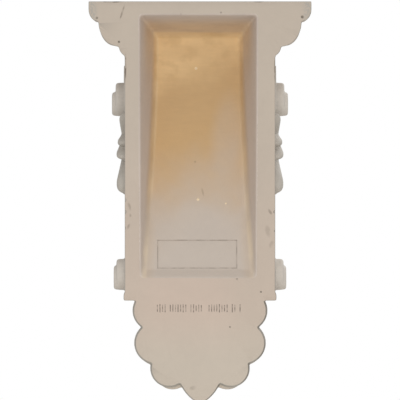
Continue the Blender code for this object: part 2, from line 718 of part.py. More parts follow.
def pendant_outline(shrink):
    """Half of the pendant's outline, from the foot of the block down to its tip, drawn in by shrink."""
    inside_block = FOOT_FILLET_HEIGHT / 2
    first, second, third = ((x, z, radius - shrink) for x, z, radius in pendant_lobes())
    notches = (meeting(first, second), meeting(second, third))
    tip_start = (PENDANT_TIP_HALF_WIDTH * PENDANT_DROP - shrink, PENDANT_TIP_START * PENDANT_DROP)
    rise = math.degrees(math.asin(min(0.9, (inside_block - first[1]) / first[2])))
    half = arc(first[:2], first[2], rise, bearing(first, notches[0]), 6)
    half += arc(second[:2], second[2], bearing(second, notches[0]), bearing(second, notches[1]), 7)[1:]
    half += arc(third[:2], third[2], bearing(third, notches[1]), bearing(third, tip_start), 7)[1:]
    return half + bowed(tip_start, (0.0, shrink - PENDANT_DROP), PENDANT_TIP_BULGE * PENDANT_DROP, 4)[1:]


def pendant(collection):
    """The pendant leaf: a lobed plate that widens from the wall, with a finger over each lobe."""
    rings = []
    front = PENDANT_THICKNESS
    levels = ((-WALL_OVERRUN, PENDANT_FLARE), (0.8 * front, 0.0), (front, PENDANT_EDGE_EASED))
    for depth, shrink in levels:
        half = pendant_outline(shrink)
        outline = half + [(-x, z) for x, z in reversed(half[:-1])]
        rings.append([Vector((x, -depth, z)) for x, z in outline])
    loft("pendant_plate", rings, collection)
    crowns = [share * PENDANT_CROWN for share in PENDANT_FINGER_CROWNS]
    for i, (x, z, radius) in enumerate(pendant_lobes()):
        aim = PENDANT_FINGER_AIM + i * PENDANT_FINGER_SPREAD
        away = Vector((x, z + aim * PENDANT_DROP)).normalized()
        away *= PENDANT_FINGER_LENGTH * radius
        width = PENDANT_FINGER_WIDTH * radius
        for side in (-1, 1):
            root = (side * LEAF_ROOT_OFFSET, z + PENDANT_FINGER_ROOT_RISE * PENDANT_DROP)
            tip = (side * (x + away.x), z + away.y)
            name, bend = f"pendant_lobe_{i}_{side}", -side * PENDANT_FINGER_BEND
            finger(name, root, tip, bend, width, crowns, place_on_pendant, collection, steps=6)
    crowns = [share * PENDANT_CROWN for share in PENDANT_MIDRIB_CROWNS]
    root, tip = ((0.0, share * PENDANT_DROP) for share in PENDANT_MIDRIB_SPAN)
    half = PENDANT_MIDRIB_HALF_WIDTH
    finger("pendant_tip", root, tip, 0.0, half, crowns, place_on_pendant, collection, steps=6)


def hollow_station(share):
    """The hollow at a share of the way up it: its half width and height at the mouth, then its
    depth and the height of its floor."""
    rim = HOLLOW_SIDE_RIM_FOOT + (HOLLOW_SIDE_RIM_TOP - HOLLOW_SIDE_RIM_FOOT) * share
    foot, top = HOLLOW_FOOT_RIM, BLOCK_HEIGHT - HOLLOW_TOP_RIM
    deepens = math.sin(0.5 * math.pi * share)
    depth = HOLLOW_DEPTH_FOOT + (HOLLOW_DEPTH_TOP - HOLLOW_DEPTH_FOOT) * deepens
    floor_foot, floor_top = hollow_floor_ends()
    return (
        BLOCK_HALF_WIDTH - rim,
        foot + (top - foot) * share,
        depth,
        floor_foot + (floor_top - floor_foot) * share,
    )


def hollow_floor_ends():
    """The heights of the floor's foot and top edge. The hollow's foot is bevelled at 45 degrees."""
    top = BLOCK_HEIGHT - HOLLOW_TOP_RIM - math.tan(HOLLOW_TOP_DRAFT) * HOLLOW_DEPTH_TOP
    return HOLLOW_FOOT_RIM + HOLLOW_DEPTH_FOOT, top


def floor_depth(height):
    """How deep the hollow's floor lies at a height, between its foot and its top edge."""
    foot, top = hollow_floor_ends()
    return hollow_station((height - foot) / (top - foot))[2]


def hollow_cutter(collection):
    """The tapering hollow: drafted sides and top, a floor that curves as the scroll's front does,
    and a bevelled foot."""
    draft = math.tan(HOLLOW_SIDE_DRAFT)
    rings = []
    for i in range(HOLLOW_STEPS + 1):
        share = i / HOLLOW_STEPS
        half, height, depth, floor_height = hollow_station(share)
        beyond = WALL_OVERRUN * (share * math.tan(HOLLOW_TOP_DRAFT) - (1 - share))
        ring = []
        for side in (-1, 1):
            ring.append(Vector((side * (half + draft * WALL_OVERRUN), WALL_OVERRUN, height + beyond)))
        for side in (1, -1):
            ring.append(Vector((side * (half - draft * depth), -depth, floor_height)))
        rings.append([point + Vector((HOLLOW_OFFSET, 0.0, 0.0)) for point in ring])
    round_floor(loft("hollow_cutter", rings, collection))


def round_floor(cutter):
    """Rounds the edges where the hollow's floor meets its sides and its top."""
    bm = bmesh.new()
    bm.from_mesh(cutter.data)
    on_floor = [e for e in bm.edges if all(v.co.y < 0 for v in e.verts)]
    edges = [e for e in on_floor if e.calc_face_angle() > HOLLOW_SHARP_ANGLE]
    bmesh.ops.bevel(bm, geom=edges, offset=HOLLOW_FLOOR_ROUNDING, segments=2, profile=0.5, affect="EDGES")
    bm.to_mesh(cutter.data)
    bm.free()


def label_cutter(collection):
    """A shallow plain recess for a label in the hollow's floor, near its foot."""
    low = HOLLOW_FOOT_RIM + HOLLOW_DEPTH_FOOT + LABEL_CLEAR_OF_FOOT
    slope = math.atan2(floor_depth(low + LABEL_HEIGHT) - floor_depth(low), LABEL_HEIGHT)
    height = low + LABEL_HEIGHT / 2
    depth = floor_depth(height)
    thick = 2 * depth
    bm = bmesh.new()
    bmesh.ops.create_cube(bm, size=1.0)
    bmesh.ops.scale(bm, vec=(LABEL_WIDTH, thick, LABEL_HEIGHT / math.cos(slope)), verts=bm.verts)
    bmesh.ops.translate(bm, vec=(0.0, thick / 2 - LABEL_RECESS, 0.0), verts=bm.verts)
    turn = Matrix.Rotation(slope, 4, "X")
    shift = Matrix.Translation((HOLLOW_OFFSET + LABEL_OFFSET, -depth, height))
    bmesh.ops.transform(bm, matrix=shift @ turn, verts=bm.verts)
    mesh_object("label_cutter", bm, collection)


def wall_cutter(collection):
    """All that stands behind the wall plane, so that the back is one flat face."""
    thick = 4 * WALL_OVERRUN
    size = (3 * CAP_HALF_WIDTH, thick, 3 * BLOCK_HEIGHT)
    block("wall_cutter", size, (0.0, thick / 2, 0.0), collection)


def stone_finish():
    """Stone-beige primer over moulded foam."""
    material = bpy.data.materials.new("stone_beige_primer")
    material.use_nodes = True
    shader = material.node_tree.nodes["Principled BSDF"]
    shader.inputs["Base Color"].default_value = PRIMER_COLOUR
    shader.inputs["Roughness"].default_value = 0.75
    shader.inputs["Metallic"].default_value = 0.0
    material.diffuse_color = PRIMER_COLOUR
    return material


def boolean(obj, name, operation, collection):
    step = obj.modifiers.new(name, "BOOLEAN")
    step.operation = operation
    step.operand_type = "COLLECTION"
    step.collection = collection
    step.solver = "EXACT"


def islands(bm):
    """The mesh's faces in groups that are joined to each other."""
    waiting, groups = set(bm.faces), []
    while waiting:
        group, edge_of_group = set(), [waiting.pop()]
        while edge_of_group:
            face = edge_of_group.pop()
            group.add(face)
            for edge in face.edges:
                beside = waiting.intersection(edge.link_faces)
                waiting -= beside
                edge_of_group.extend(beside)
        groups.append(group)
    return groups


def make_plain(obj):
    """The joined and cut solid as a plain mesh, without the specks that crossing fingers leave."""
    bpy.context.view_layer.update()
    graph = bpy.context.evaluated_depsgraph_get()
    mesh = bpy.data.meshes.new_from_object(obj.evaluated_get(graph))
    bm = bmesh.new()
    bm.from_mesh(mesh)
    for group in sorted(islands(bm), key=len)[:-1]:
        bmesh.ops.delete(bm, geom=list(group), context="FACES")
    bm.to_mesh(mesh)
    bm.free()
    obj.modifiers.clear()
    obj.data = mesh


def main():
    clear_scene()
    product = new_collection("corbel_collection")
    carving = new_collection("carving_helpers")
    cutters = new_collection("cutters")
    rail = Rail(front_line(6))
    corbel = scroll_block(product)
    corbel.data.materials.append(stone_finish())
    cap(carving)
    cap_tongues(carving)
    plain_sides(carving)
    foot_fillet(carving)
    edge_bands(rail, carving)
    volutes(carving)
    side_leaves(carving)
    front_leaf(rail, carving)
    lower_leaf(rail, carving)
    pendant(carving)
    wall_cutter(cutters)
    hollow_cutter(cutters)
    label_cutter(cutters)
    for helper in list(carving.objects) + list(cutters.objects):
        helper.hide_render = True
        helper.display_type = "WIRE"
    boolean(corbel, "join_carving", "UNION", carving)
    boolean(corbel, "cut_back", "DIFFERENCE", cutters)
    make_plain(corbel)


main()
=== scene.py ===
"""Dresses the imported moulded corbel: one cast piece with soft carving over the CAD solid's form,
in stone-beige primer over raw foam, on a plain white stage."""

import json
import math

import bmesh
import bpy
from bpy.props import FloatProperty, FloatVectorProperty, IntProperty, PointerProperty
from mathutils import Matrix, Vector

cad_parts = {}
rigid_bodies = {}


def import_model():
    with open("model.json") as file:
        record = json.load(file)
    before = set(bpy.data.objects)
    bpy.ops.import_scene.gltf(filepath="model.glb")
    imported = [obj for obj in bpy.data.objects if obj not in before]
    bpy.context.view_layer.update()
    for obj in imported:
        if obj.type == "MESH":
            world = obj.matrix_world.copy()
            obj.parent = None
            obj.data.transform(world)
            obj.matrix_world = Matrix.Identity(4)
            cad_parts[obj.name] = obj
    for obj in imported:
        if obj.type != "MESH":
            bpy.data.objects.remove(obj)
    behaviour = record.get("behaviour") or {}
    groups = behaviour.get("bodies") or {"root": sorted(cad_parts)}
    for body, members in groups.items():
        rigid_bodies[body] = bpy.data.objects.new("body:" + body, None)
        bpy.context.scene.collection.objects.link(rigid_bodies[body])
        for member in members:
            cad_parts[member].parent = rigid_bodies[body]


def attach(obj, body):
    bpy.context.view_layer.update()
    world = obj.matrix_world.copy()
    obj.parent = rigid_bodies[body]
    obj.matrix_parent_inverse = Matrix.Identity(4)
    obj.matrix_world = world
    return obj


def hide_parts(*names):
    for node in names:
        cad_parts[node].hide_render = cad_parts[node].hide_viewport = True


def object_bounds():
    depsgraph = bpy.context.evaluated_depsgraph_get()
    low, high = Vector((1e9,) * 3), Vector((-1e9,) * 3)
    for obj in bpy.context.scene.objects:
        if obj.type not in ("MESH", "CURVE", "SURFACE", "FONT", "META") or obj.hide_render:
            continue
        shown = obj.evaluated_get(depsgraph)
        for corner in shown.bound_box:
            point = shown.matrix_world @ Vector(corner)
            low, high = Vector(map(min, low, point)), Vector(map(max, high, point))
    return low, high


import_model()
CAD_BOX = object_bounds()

bl_info = {
    "name": "Moulded Corbel",
    "version": (1, 0, 0),
    "blender": (4, 5, 0),
    "location": "3D View > Sidebar > Corbel",
    "description": "Builds a carved corbel moulded in urethane foam, with its primer finish",
    "category": "Add Mesh",
}

# Cap moulding, from the top down
BEAD_BULGE = 0.0012
OVOLO_DROP = 0.0012
CARVED_OVOLO_SUNK = 0.0026
NECK_OVERHANG = 0.0004
NECK_HOLLOW = 0.0013
TONGUE_CLEAR_OF_WALL = 0.0195
TONGUE_CLEAR_OF_EDGES = (0.0014, 0.0022)
CORNER_LEAF_WRAP = 0.5
PLAIN_CAP_END = 0.0080

# Scrolled block, with depths measured from the wall
SWEEP_LEAVES_AT = -50.0
SWEEP_ARRIVES_AT = 30.0
LOWER_ROLL_ENDS_AT = -75.0
SWEEP_PULL_UPPER = 0.100
SWEEP_PULL_LOWER = 0.080
BAND_OVERHANG = 0.0006
BAND_SPAN = (0.01, 0.98)
PLAIN_SIDE_END = 0.0075
FOOT_FILLET_OVERHANG = 0.0011
FOOT_FILLET_PROUD = 0.0010

# Volutes on both sides: ribbon, and the stepped boss at its eye
RIBBON_HALF_WIDTH = 0.0042
RIBBON_HEIGHT_UPPER = 0.0016
RIBBON_HEIGHT = 0.0005
RIBBON_INSET = 0.0046
RIBBON_RISES_BELOW = 0.068
RIBBON_TURNS_UPPER = 1.3
RIBBON_TURNS_LOWER = -0.85
RIBBON_ENDS = (0.90, 0.85)
UPPER_BOSS_HEIGHT = 0.0088
UPPER_EYE_HEIGHT = 0.0121
UPPER_EYE_OFFSET = 0.0040
LOWER_BOSS_HEIGHT = 0.0077
LOWER_EYE_HEIGHT = 0.0101
LOWER_EYE_OFFSET = 0.0027
BOSS_ROUNDING = 0.0028
BOSS_TAPER = 0.96

# Hollow in the back, with what cuts the back flat and what marks the hollow's faces
HOLLOW_OFFSET = 0.0016
HOLLOW_SIDE_DRAFT = math.radians(11.9)
HOLLOW_TOP_DRAFT = math.radians(14.3)
HOLLOW_CORNER_ON_WALL = 0.0240
HOLLOW_CORNER_ON_TOP = 0.0420
HOLLOW_CORNER_ON_FLOOR = 0.0040
HOLLOW_CORNER_AT_FOOT = 0.0110
HOLLOW_CORNER_SPREADS_BELOW = 0.30
HOLLOW_STEPS = 36
MOUTH_CLEARANCE = 0.0060
MOUTH_GRAIN = 1.3
MOUTH_SMOOTHING = (6, 22)
MOUTH_TRIANGLES = 30000
LABEL_CLEAR_OF_FOOT = 0.0010
LABEL_OFFSET = 0.0009
LABEL_LINE = 0.0007
WALL_CUTTER_SIZE = (1.0, 0.2, 2.0)
NUB_SUNK = 0.4
MARK_REACH = 0.0030
MARK_OFF_WALL = 0.0001

# Pendant leaf: the three lobes of one side as (distance to the side, height, radius), and its
# tip, all as shares of the drop, and its thickness
PENDANT_LOBES = ((0.455, -0.097, 0.194), (0.428, -0.409, 0.205), (0.296, -0.652, 0.183))
PENDANT_TIP_HALF_WIDTH = 0.185
PENDANT_TIP_START = -0.816
PENDANT_TIP_BULGE = 0.022
PENDANT_FLARE = 0.0014
PENDANT_EDGE_EASED = 0.0004
PENDANT_EDGE_STARTS = 0.8
PENDANT_FINGER_LENGTH = 0.93
PENDANT_FINGER_WIDTH = 0.90
PENDANT_FINGER_BEND = 0.05
PENDANT_FINGER_CROWNS = (1.0, 0.62)
PENDANT_FINGER_ROOT_RISE = 0.17
PENDANT_FINGER_SPREAD = 0.11
PENDANT_FINGER_AIM = -0.04
PENDANT_MIDRIB_HALF_WIDTH = 0.0105
PENDANT_MIDRIB_CROWNS = (1.3, 0.6)
PENDANT_MIDRIB_SPAN = (0.02, -0.957)

# Front leaf: each pair of lobes as (root, reach to the side, tip, half width, height of the tip).
# Roots and tips are shares of the way down the scroll, and the reach is a share of the field.
FRONT_LEAF_PAIRS = (
    (0.056, 0.893, 0.116, 0.0100, 0.0070),
    (0.128, 0.965, 0.256, 0.0110, 0.0080),
    (0.228, 0.856, 0.403, 0.0112, 0.0088),
    (0.343, 0.583, 0.535, 0.0100, 0.0096),
)
FRONT_LEAF_ROOT_HEIGHT = 0.0060
FRONT_LEAF_TIP = (0.439, 0.647)
FRONT_LEAF_TIP_HALF_WIDTH = 0.0124
FRONT_LEAF_TIP_HEIGHTS = (0.0080, 0.0150)
LEAF_STEM_SPAN = (0.008, 0.567)
LEAF_STEM_HALF_WIDTHS = (0.0052, 0.0030)
LEAF_STEM_HEIGHTS = (0.0085, 0.0095)
LEAF_GROUND_SPAN = (0.008, 0.607)
LEAF_GROUND_HALF_WIDTH = 0.030
LEAF_GROUND_HEIGHT = 0.0045
LEAF_GROUND_TAPER = 0.8
LEAF_ROOT_OFFSET = 0.004
LEAF_BEND = 0.12
SIDE_FINGER_TURN = 27.0
SIDE_FINGER_LENGTH = 0.76
SIDE_FINGER_WIDTH = 0.86

# Lower leaf: each pair of fingers as (root, reach to the side, tip, half width), in like shares
LOWER_LEAF_PAIRS = ((0.631, 0.546, 0.759, 0.0090), (0.703, 0.474, 0.846, 0.0085))
LOWER_LEAF_HEIGHTS = (0.0040, 0.0055)
LOWER_LEAF_TIP = (0.659, 0.914)
LOWER_LEAF_TIP_HALF_WIDTH = 0.0105
LOWER_LEAF_TIP_HEIGHTS = (0.0045, 0.0065)
LOWER_LEAF_ROOT_OFFSET = 0.002

# Side leaves: how far their fingers stand off at the root, and each finger as (how far its root
# lies towards the wall from the upper volute's centre and below it, depth of its tip from the
# wall, drop of its tip, half width, height of the tip, bend)
SIDE_LEAF_ROOT_HEIGHT = 0.0030
SIDE_LEAF_FINGERS = (
    (0.010, 0.0330, 0.034, 0.0125, 0.0052, 0.0062, 0.0),
    (0.006, 0.0300, 0.014, 0.0385, 0.0056, 0.0080, 0.10),
    (0.010, 0.0340, 0.011, 0.0515, 0.0056, 0.0094, 0.10),
    (0.020, 0.0520, 0.014, 0.0810, 0.0105, 0.0092, 0.10),
    (0.010, 0.0400, 0.036, 0.0850, 0.0080, 0.0052, 0.10),
)

# How deep carving is rooted in what carries it, how far forms cross the wall plane, and how far
# plain forms reach into each other
ROOT_DEPTH = 0.0030
WALL_OVERRUN = 0.0006
LAP = 0.0010

# How far from the wall plane the cast skin is softer, and its rounds of smoothing everywhere
# and there
EASED_DEPTH = 0.0045
SKIN_SMOOTHING = (2, 14)

# Half the length over which a line's slope is read
NORMAL_STEP = 0.0020

# Darts between the cap's tongues
DART_HALF_WIDTH = 0.0030
DART_HEIGHT = 0.0024
DART_LENGTH = 0.92

# Steps along the scroll's front in each arc, and the least angle of an edge that stays sharp
FRONT_DETAIL = 8
SHARP_ANGLE = math.radians(42)

# Camera and light, all turned to one point: places, distances and sizes in metres, lens and
# sensor in millimetres
AIM = (0.0, 0.0, 0.0896)
CAMERA_PLACE = (0.0, 6.0, 0.18)
CAMERA_LENS = 606.7
CAMERA_SENSOR = 36.0
CAMERA_SEES_TO = 50.0
KEY_PLACE = (-0.10, 4.6, 0.65)
FRONT_KEY_PLACE = (-1.6, -2.6, 2.0)
KEY_SIZE = 2.6

# Row of stamped strokes: their pitch in millimetres, the row's height and reach in metres, a
# stroke's half width as a share of the pitch, the share of strokes left out, and the least and
# the greatest half height in metres
STROKE_PITCH = 2.3
STROKE_ROW = -0.0068
STROKE_REACH = 0.0385
STROKE_HALF_WIDTH = 0.19
STROKES_LEFT_OUT = 0.14
STROKE_HALF_HEIGHTS = (0.0026, 0.0038)

# Where the primer changes, each as the two values between which it does, and for some the shares
# that it changes from and to: heights, depths, distances from the middle, and turns of the face
WARM_HEIGHT = (0.20, 0.0)
WARM_MIDDLE = 0.012
WARM_ASIDE = (0.020, 0.060, 1.0, 0.5)
PENDANT_HEIGHT = (0.0, -0.06)
SIDE_REACH = (-0.0004, -0.0001)
SIDE_DEPTH = (0.001, 0.003)
SIDE_TOP = (0.222, 0.214)
# Painted shade on the side leaves' crests, where they stand past the block's edge.
CREST_REACH = (-0.0010, 0.0015)
CREST_SHADE = 0.65
CREST_FOOT = (0.088, 0.100)
CREST_TOP = (0.172, 0.164)
CREST_DEPTH = (0.060, 0.045)
# Painted shade on faces that turn away from the back, and on the cap's ends, broken by a speckle;
# DARK_TURN paints faces towards -X darker still.
END_SPECKLE_REACH = (0.0900, 0.0950)
END_SPECKLE_HEIGHT = (0.2450, 0.2510)
SHADE_TURN_AWAY = (0.99, 0.70)
SHADE_DEPTH = (0.0, -0.004, 0.003, 0.008)
SHADE_FADE = (1.0, 0.6)
DARK_TURN = (-0.3, -0.8, 0.0, 0.45)

# Where bare foam shows in the hollow: how its edge drifts with the patches and to the side, then
# heights, depths and distances inside the edge of the floor, in like values
FOAM_DRIFT = (0.07, -0.035)
FOAM_TILT = 0.22
FOAM_HEIGHT = (0.050, 0.158)
WALL_FOAM_HEIGHT = (0.165, 0.26, 0.0, 0.60)
WALL_FOAM_DEPTH = (0.004, 0.040)
FLOOR_INSIDE = (-0.004, 0.0015)
EDGE_FOAM_STARTS = (-0.002, 0.002)
EDGE_FOAM_ENDS = (0.013, 0.004)
EDGE_FOAM_HEIGHT = (0.03, 0.13, 0.16, 0.24)
BRIGHT_FOAM_HEIGHT = (0.185, 0.225)
EDGE_LIGHT_STARTS = (-0.002, 0.0005)
EDGE_LIGHT_ENDS = (0.0048, 0.0020)
RIPPLE_HEIGHT = (0.10, 0.20)
RIPPLE_STRETCH = (0.16, 0.4, 1.0)

# Sizes of the patches in each noise, in millimetres
PATCH_SIZE = 45
BLOTCH_SIZE = 13
MOTTLE_SIZE = 7
WEAR_SIZE = 3.0
RIPPLE_SIZE = 2.4
SPECKLE_SIZE = 1.8
GRAIN_SIZE = 0.9
FLOOR_NOISE_SIZE = 90

# How noise breaks up the finish, each as (noise from, noise to, share from, share to)
BROWN_BREAKS = (0.35, 0.6, 0.5, 1.0)
BLOTCH_BREAKS = (0.42, 0.66, 0.0, 0.5)
EDGE_LIGHT_BREAKS = (0.4, 0.6, 0.10, 0.30)
SPECKLE_BREAKS = (0.42, 0.58, 0.15, 0.9)
MARK_BREAKS = (0.40, 0.56, 0.30, 1.0)
OUTLINE_BREAKS = (0.4, 0.6, 0.12, 0.38)
STROKE_BREAKS = (0.35, 0.6, 0.35, 0.95)

# How noise shades the finish and its roughness, each as (run, least)
PATCH_SHADE = (0.10, 0.95)
MOTTLE_SHADE = (0.07, 0.965)
RIPPLE_SHADE = (-0.10, 1.04)
FLOOR_SHADE = (0.04, 0.96)
FLOOR_ROUGHNESS = 0.9
ROUGHNESS = (0.14, 0.66)
PRIMER_IOR = 1.47
MOTTLE_RELIEF = 1.6
BUMP = {"Strength": 0.35, "Distance": 0.0003}

# Soft marks: the shares of their size between which they fade, how deep those on the back and
# those on the hollow's floor go, and the size of a bead's painted highlight against the bead, with
# its strength
SPOT_FADE = (1.0, 0.35)
SPOT_REACH = 0.008
FLOOR_SPOT_REACH = 1.0
BEAD_HIGHLIGHT_SIZE = 1.6
BEAD_HIGHLIGHT_STRENGTH = 0.9

FINISH = "stone_beige_primer_on_urethane_foam"
FORMS = "corbel_forms"
CUTTERS = "corbel_cutters"


def shares(count):
    """Even shares from 0 to 1, with both ends."""
    return [i / count for i in range(count + 1)]


def between(start, end, share):
    return start + (end - start) * share


def leaf_section(count):
    """A leaf finger: raised margins, a dished face and a fine midrib between two grooves."""
    margin, dish, edge_fall = 0.6, 0.26, 0.5
    rib, rib_width, groove, groove_at, groove_width = 0.16, 0.09, 0.10, 0.22, 0.08
    found = []
    for share in (2 * t - 1 for t in shares(count)):
        off = abs(share)
        if off < margin:
            rise = 1 - dish + dish * math.sin(0.5 * math.pi * off / margin) ** 2
        else:
            rise = 1 - edge_fall * ((off - margin) / (1 - margin)) ** 2
        rise += rib * math.exp(-((off / rib_width) ** 2))
        rise -= groove * math.exp(-(((off - groove_at) / groove_width) ** 2))
        found.append((share, rise))
    return found


# Sections of carving, from edge to edge, as (share of the half width, share of the height)
LEAF_SECTION = leaf_section(20)
ROUNDED = [(2 * t - 1, 1 - 0.65 * abs(2 * t - 1) ** 3) for t in shares(16)]
FLAT_RIBBON = ((-0.8, 1.0), (-0.3, 0.86), (0.3, 0.86), (0.8, 1.0))
BAND_SECTION = (
    (-1.0, 0.80),
    (-0.75, 1.0),
    (-0.45, 1.0),
    (-0.3, 0.8),
    (0.3, 0.8),
    (0.45, 1.0),
    (0.75, 1.0),
    (1.0, 0.55),
)

# Small marks of moulding and handling on the back, each as (x, z, radius, height of its centre
# off the back), in millimetres
PITS = (
    (16.9, 255.2, 0.9, 0.2),
    (-18.7, 256.5, 0.8, 0.2),
    (91.7, 251.6, 1.1, 0.2),
    (72.1, 230.3, 1.1, 0.2),
    (-91.0, 252.5, 1.2, 0.3),
    (-32.9, 19.3, 0.9, 0.2),
    (-54.3, 7.8, 0.9, 0.2),
    (-26.7, -23.4, 0.8, 0.2),
    (67.6, 89.6, 2.2, 0.6),
    (67.8, 79.0, 2.6, 0.8),
    (67.6, 64.7, 2.0, 0.6),
    (-67.4, 79.0, 2.2, 0.6),
    (-67.6, 62.0, 1.8, 0.5),
)
# Beads of foam that stand on the hollow's floor, as (x, z, radius) in millimetres
NUBS = ((3.6, 207.1, 1.1), (1.8, 89.7, 1.1), (-23.1, 86.1, 0.7))

# Patches of browner foam and of thicker primer on the hollow's floor, then dark marks on the
# floor and on the back, each as (x, z, half width, half height in millimetres, turn in degrees,
# strength)
BROWN_PATCHES = (
    (26.0, 150.0, 22.0, 34.0, 0.0, 0.60),
    (8.0, 222.0, 34.0, 9.0, 4.0, 0.30),
    (10.0, 112.0, 34.0, 14.0, 0.0, 0.25),
)
PALE_PATCHES = (
    (2.0, 73.0, 30.0, 18.0, 0.0, 0.60),
    (-25.0, 144.0, 20.0, 52.0, -4.0, 0.30),
)
FLOOR_MARKS = ((-2.4, 96.3, 1.2, 5.0, 14.0, 0.24), (4.4, 123.3, 1.3, 1.3, 0.0, 0.28))
# On the back, in order: a dark mark on the cap; dark spots in the pits, partly dirt and partly
# painted shade; dark streaks along the top edge; painted shade in the grooves down the block's two
# edges; a mark on the pendant; painted shade blotches by the side dents; more dark spots in the
# pits, partly dirt and partly painted shade.
BACK_MARKS_AND_SHADE = (
    (69.3, 256.3, 1.1, 8.6, -18.0, 0.60),
    (91.7, 251.6, 1.4, 1.4, 0.0, 0.6),
    (72.1, 230.3, 1.4, 1.4, 0.0, 0.6),
    (-91.0, 252.5, 1.8, 2.2, 20.0, 0.55),
    (78.0, 266.2, 11.5, 1.4, 0.0, 0.75),
    (-52.0, 266.2, 6.0, 1.2, 0.0, 0.55),
    (66.3, 208.0, 1.0, 15.5, 0.0, 0.75),
    (-66.6, 206.0, 0.9, 13.5, 0.0, 0.60),
    (6.2, -77.7, 4.0, 2.6, 20.0, 0.30),
    (-60.5, 62.0, 3.2, 7.0, 12.0, 0.20),
    (-63.5, 50.0, 2.4, 5.0, -20.0, 0.22),
    (-62.4, 79.0, 1.6, 4.0, 30.0, 0.42),
    (63.0, 84.0, 1.8, 5.0, 15.0, 0.34),
    (63.6, 66.0, 1.4, 3.4, -20.0, 0.38),
    (62.0, 76.0, 1.2, 2.0, 0.0, 0.36),
    (-32.9, 19.3, 1.0, 1.0, 0.0, 0.5),
    (-54.3, 7.8, 1.1, 1.1, 0.0, 0.5),
    (-26.7, -23.4, 1.0, 1.0, 0.0, 0.5),
    (16.9, 255.2, 1.0, 1.0, 0.0, 0.5),
    (-18.7, 256.5, 1.0, 1.0, 0.0, 0.5),
)


def linear(shade):
    """The linear values of an sRGB hex colour, which are what a shader takes."""
    found = []
    for k in (0, 2, 4):
        value = int(shade[k : k + 2], 16) / 255
        found.append(value / 12.92 if value <= 0.04045 else ((value + 0.055) / 1.055) ** 2.4)
    return tuple(found)


def length(name, words, value):
    """A size in metres that a user may change."""
    return FloatProperty(name=name, description=words, default=value, unit="LENGTH", precision=5)


def paint(name, words, shade):
    """A colour that a user may change, from its sRGB hex value."""
    return FloatVectorProperty(
        name=name,
        description=words,
        default=linear(shade),
        size=3,
        subtype="COLOR",
        min=0.0,
        max=1.0,
    )


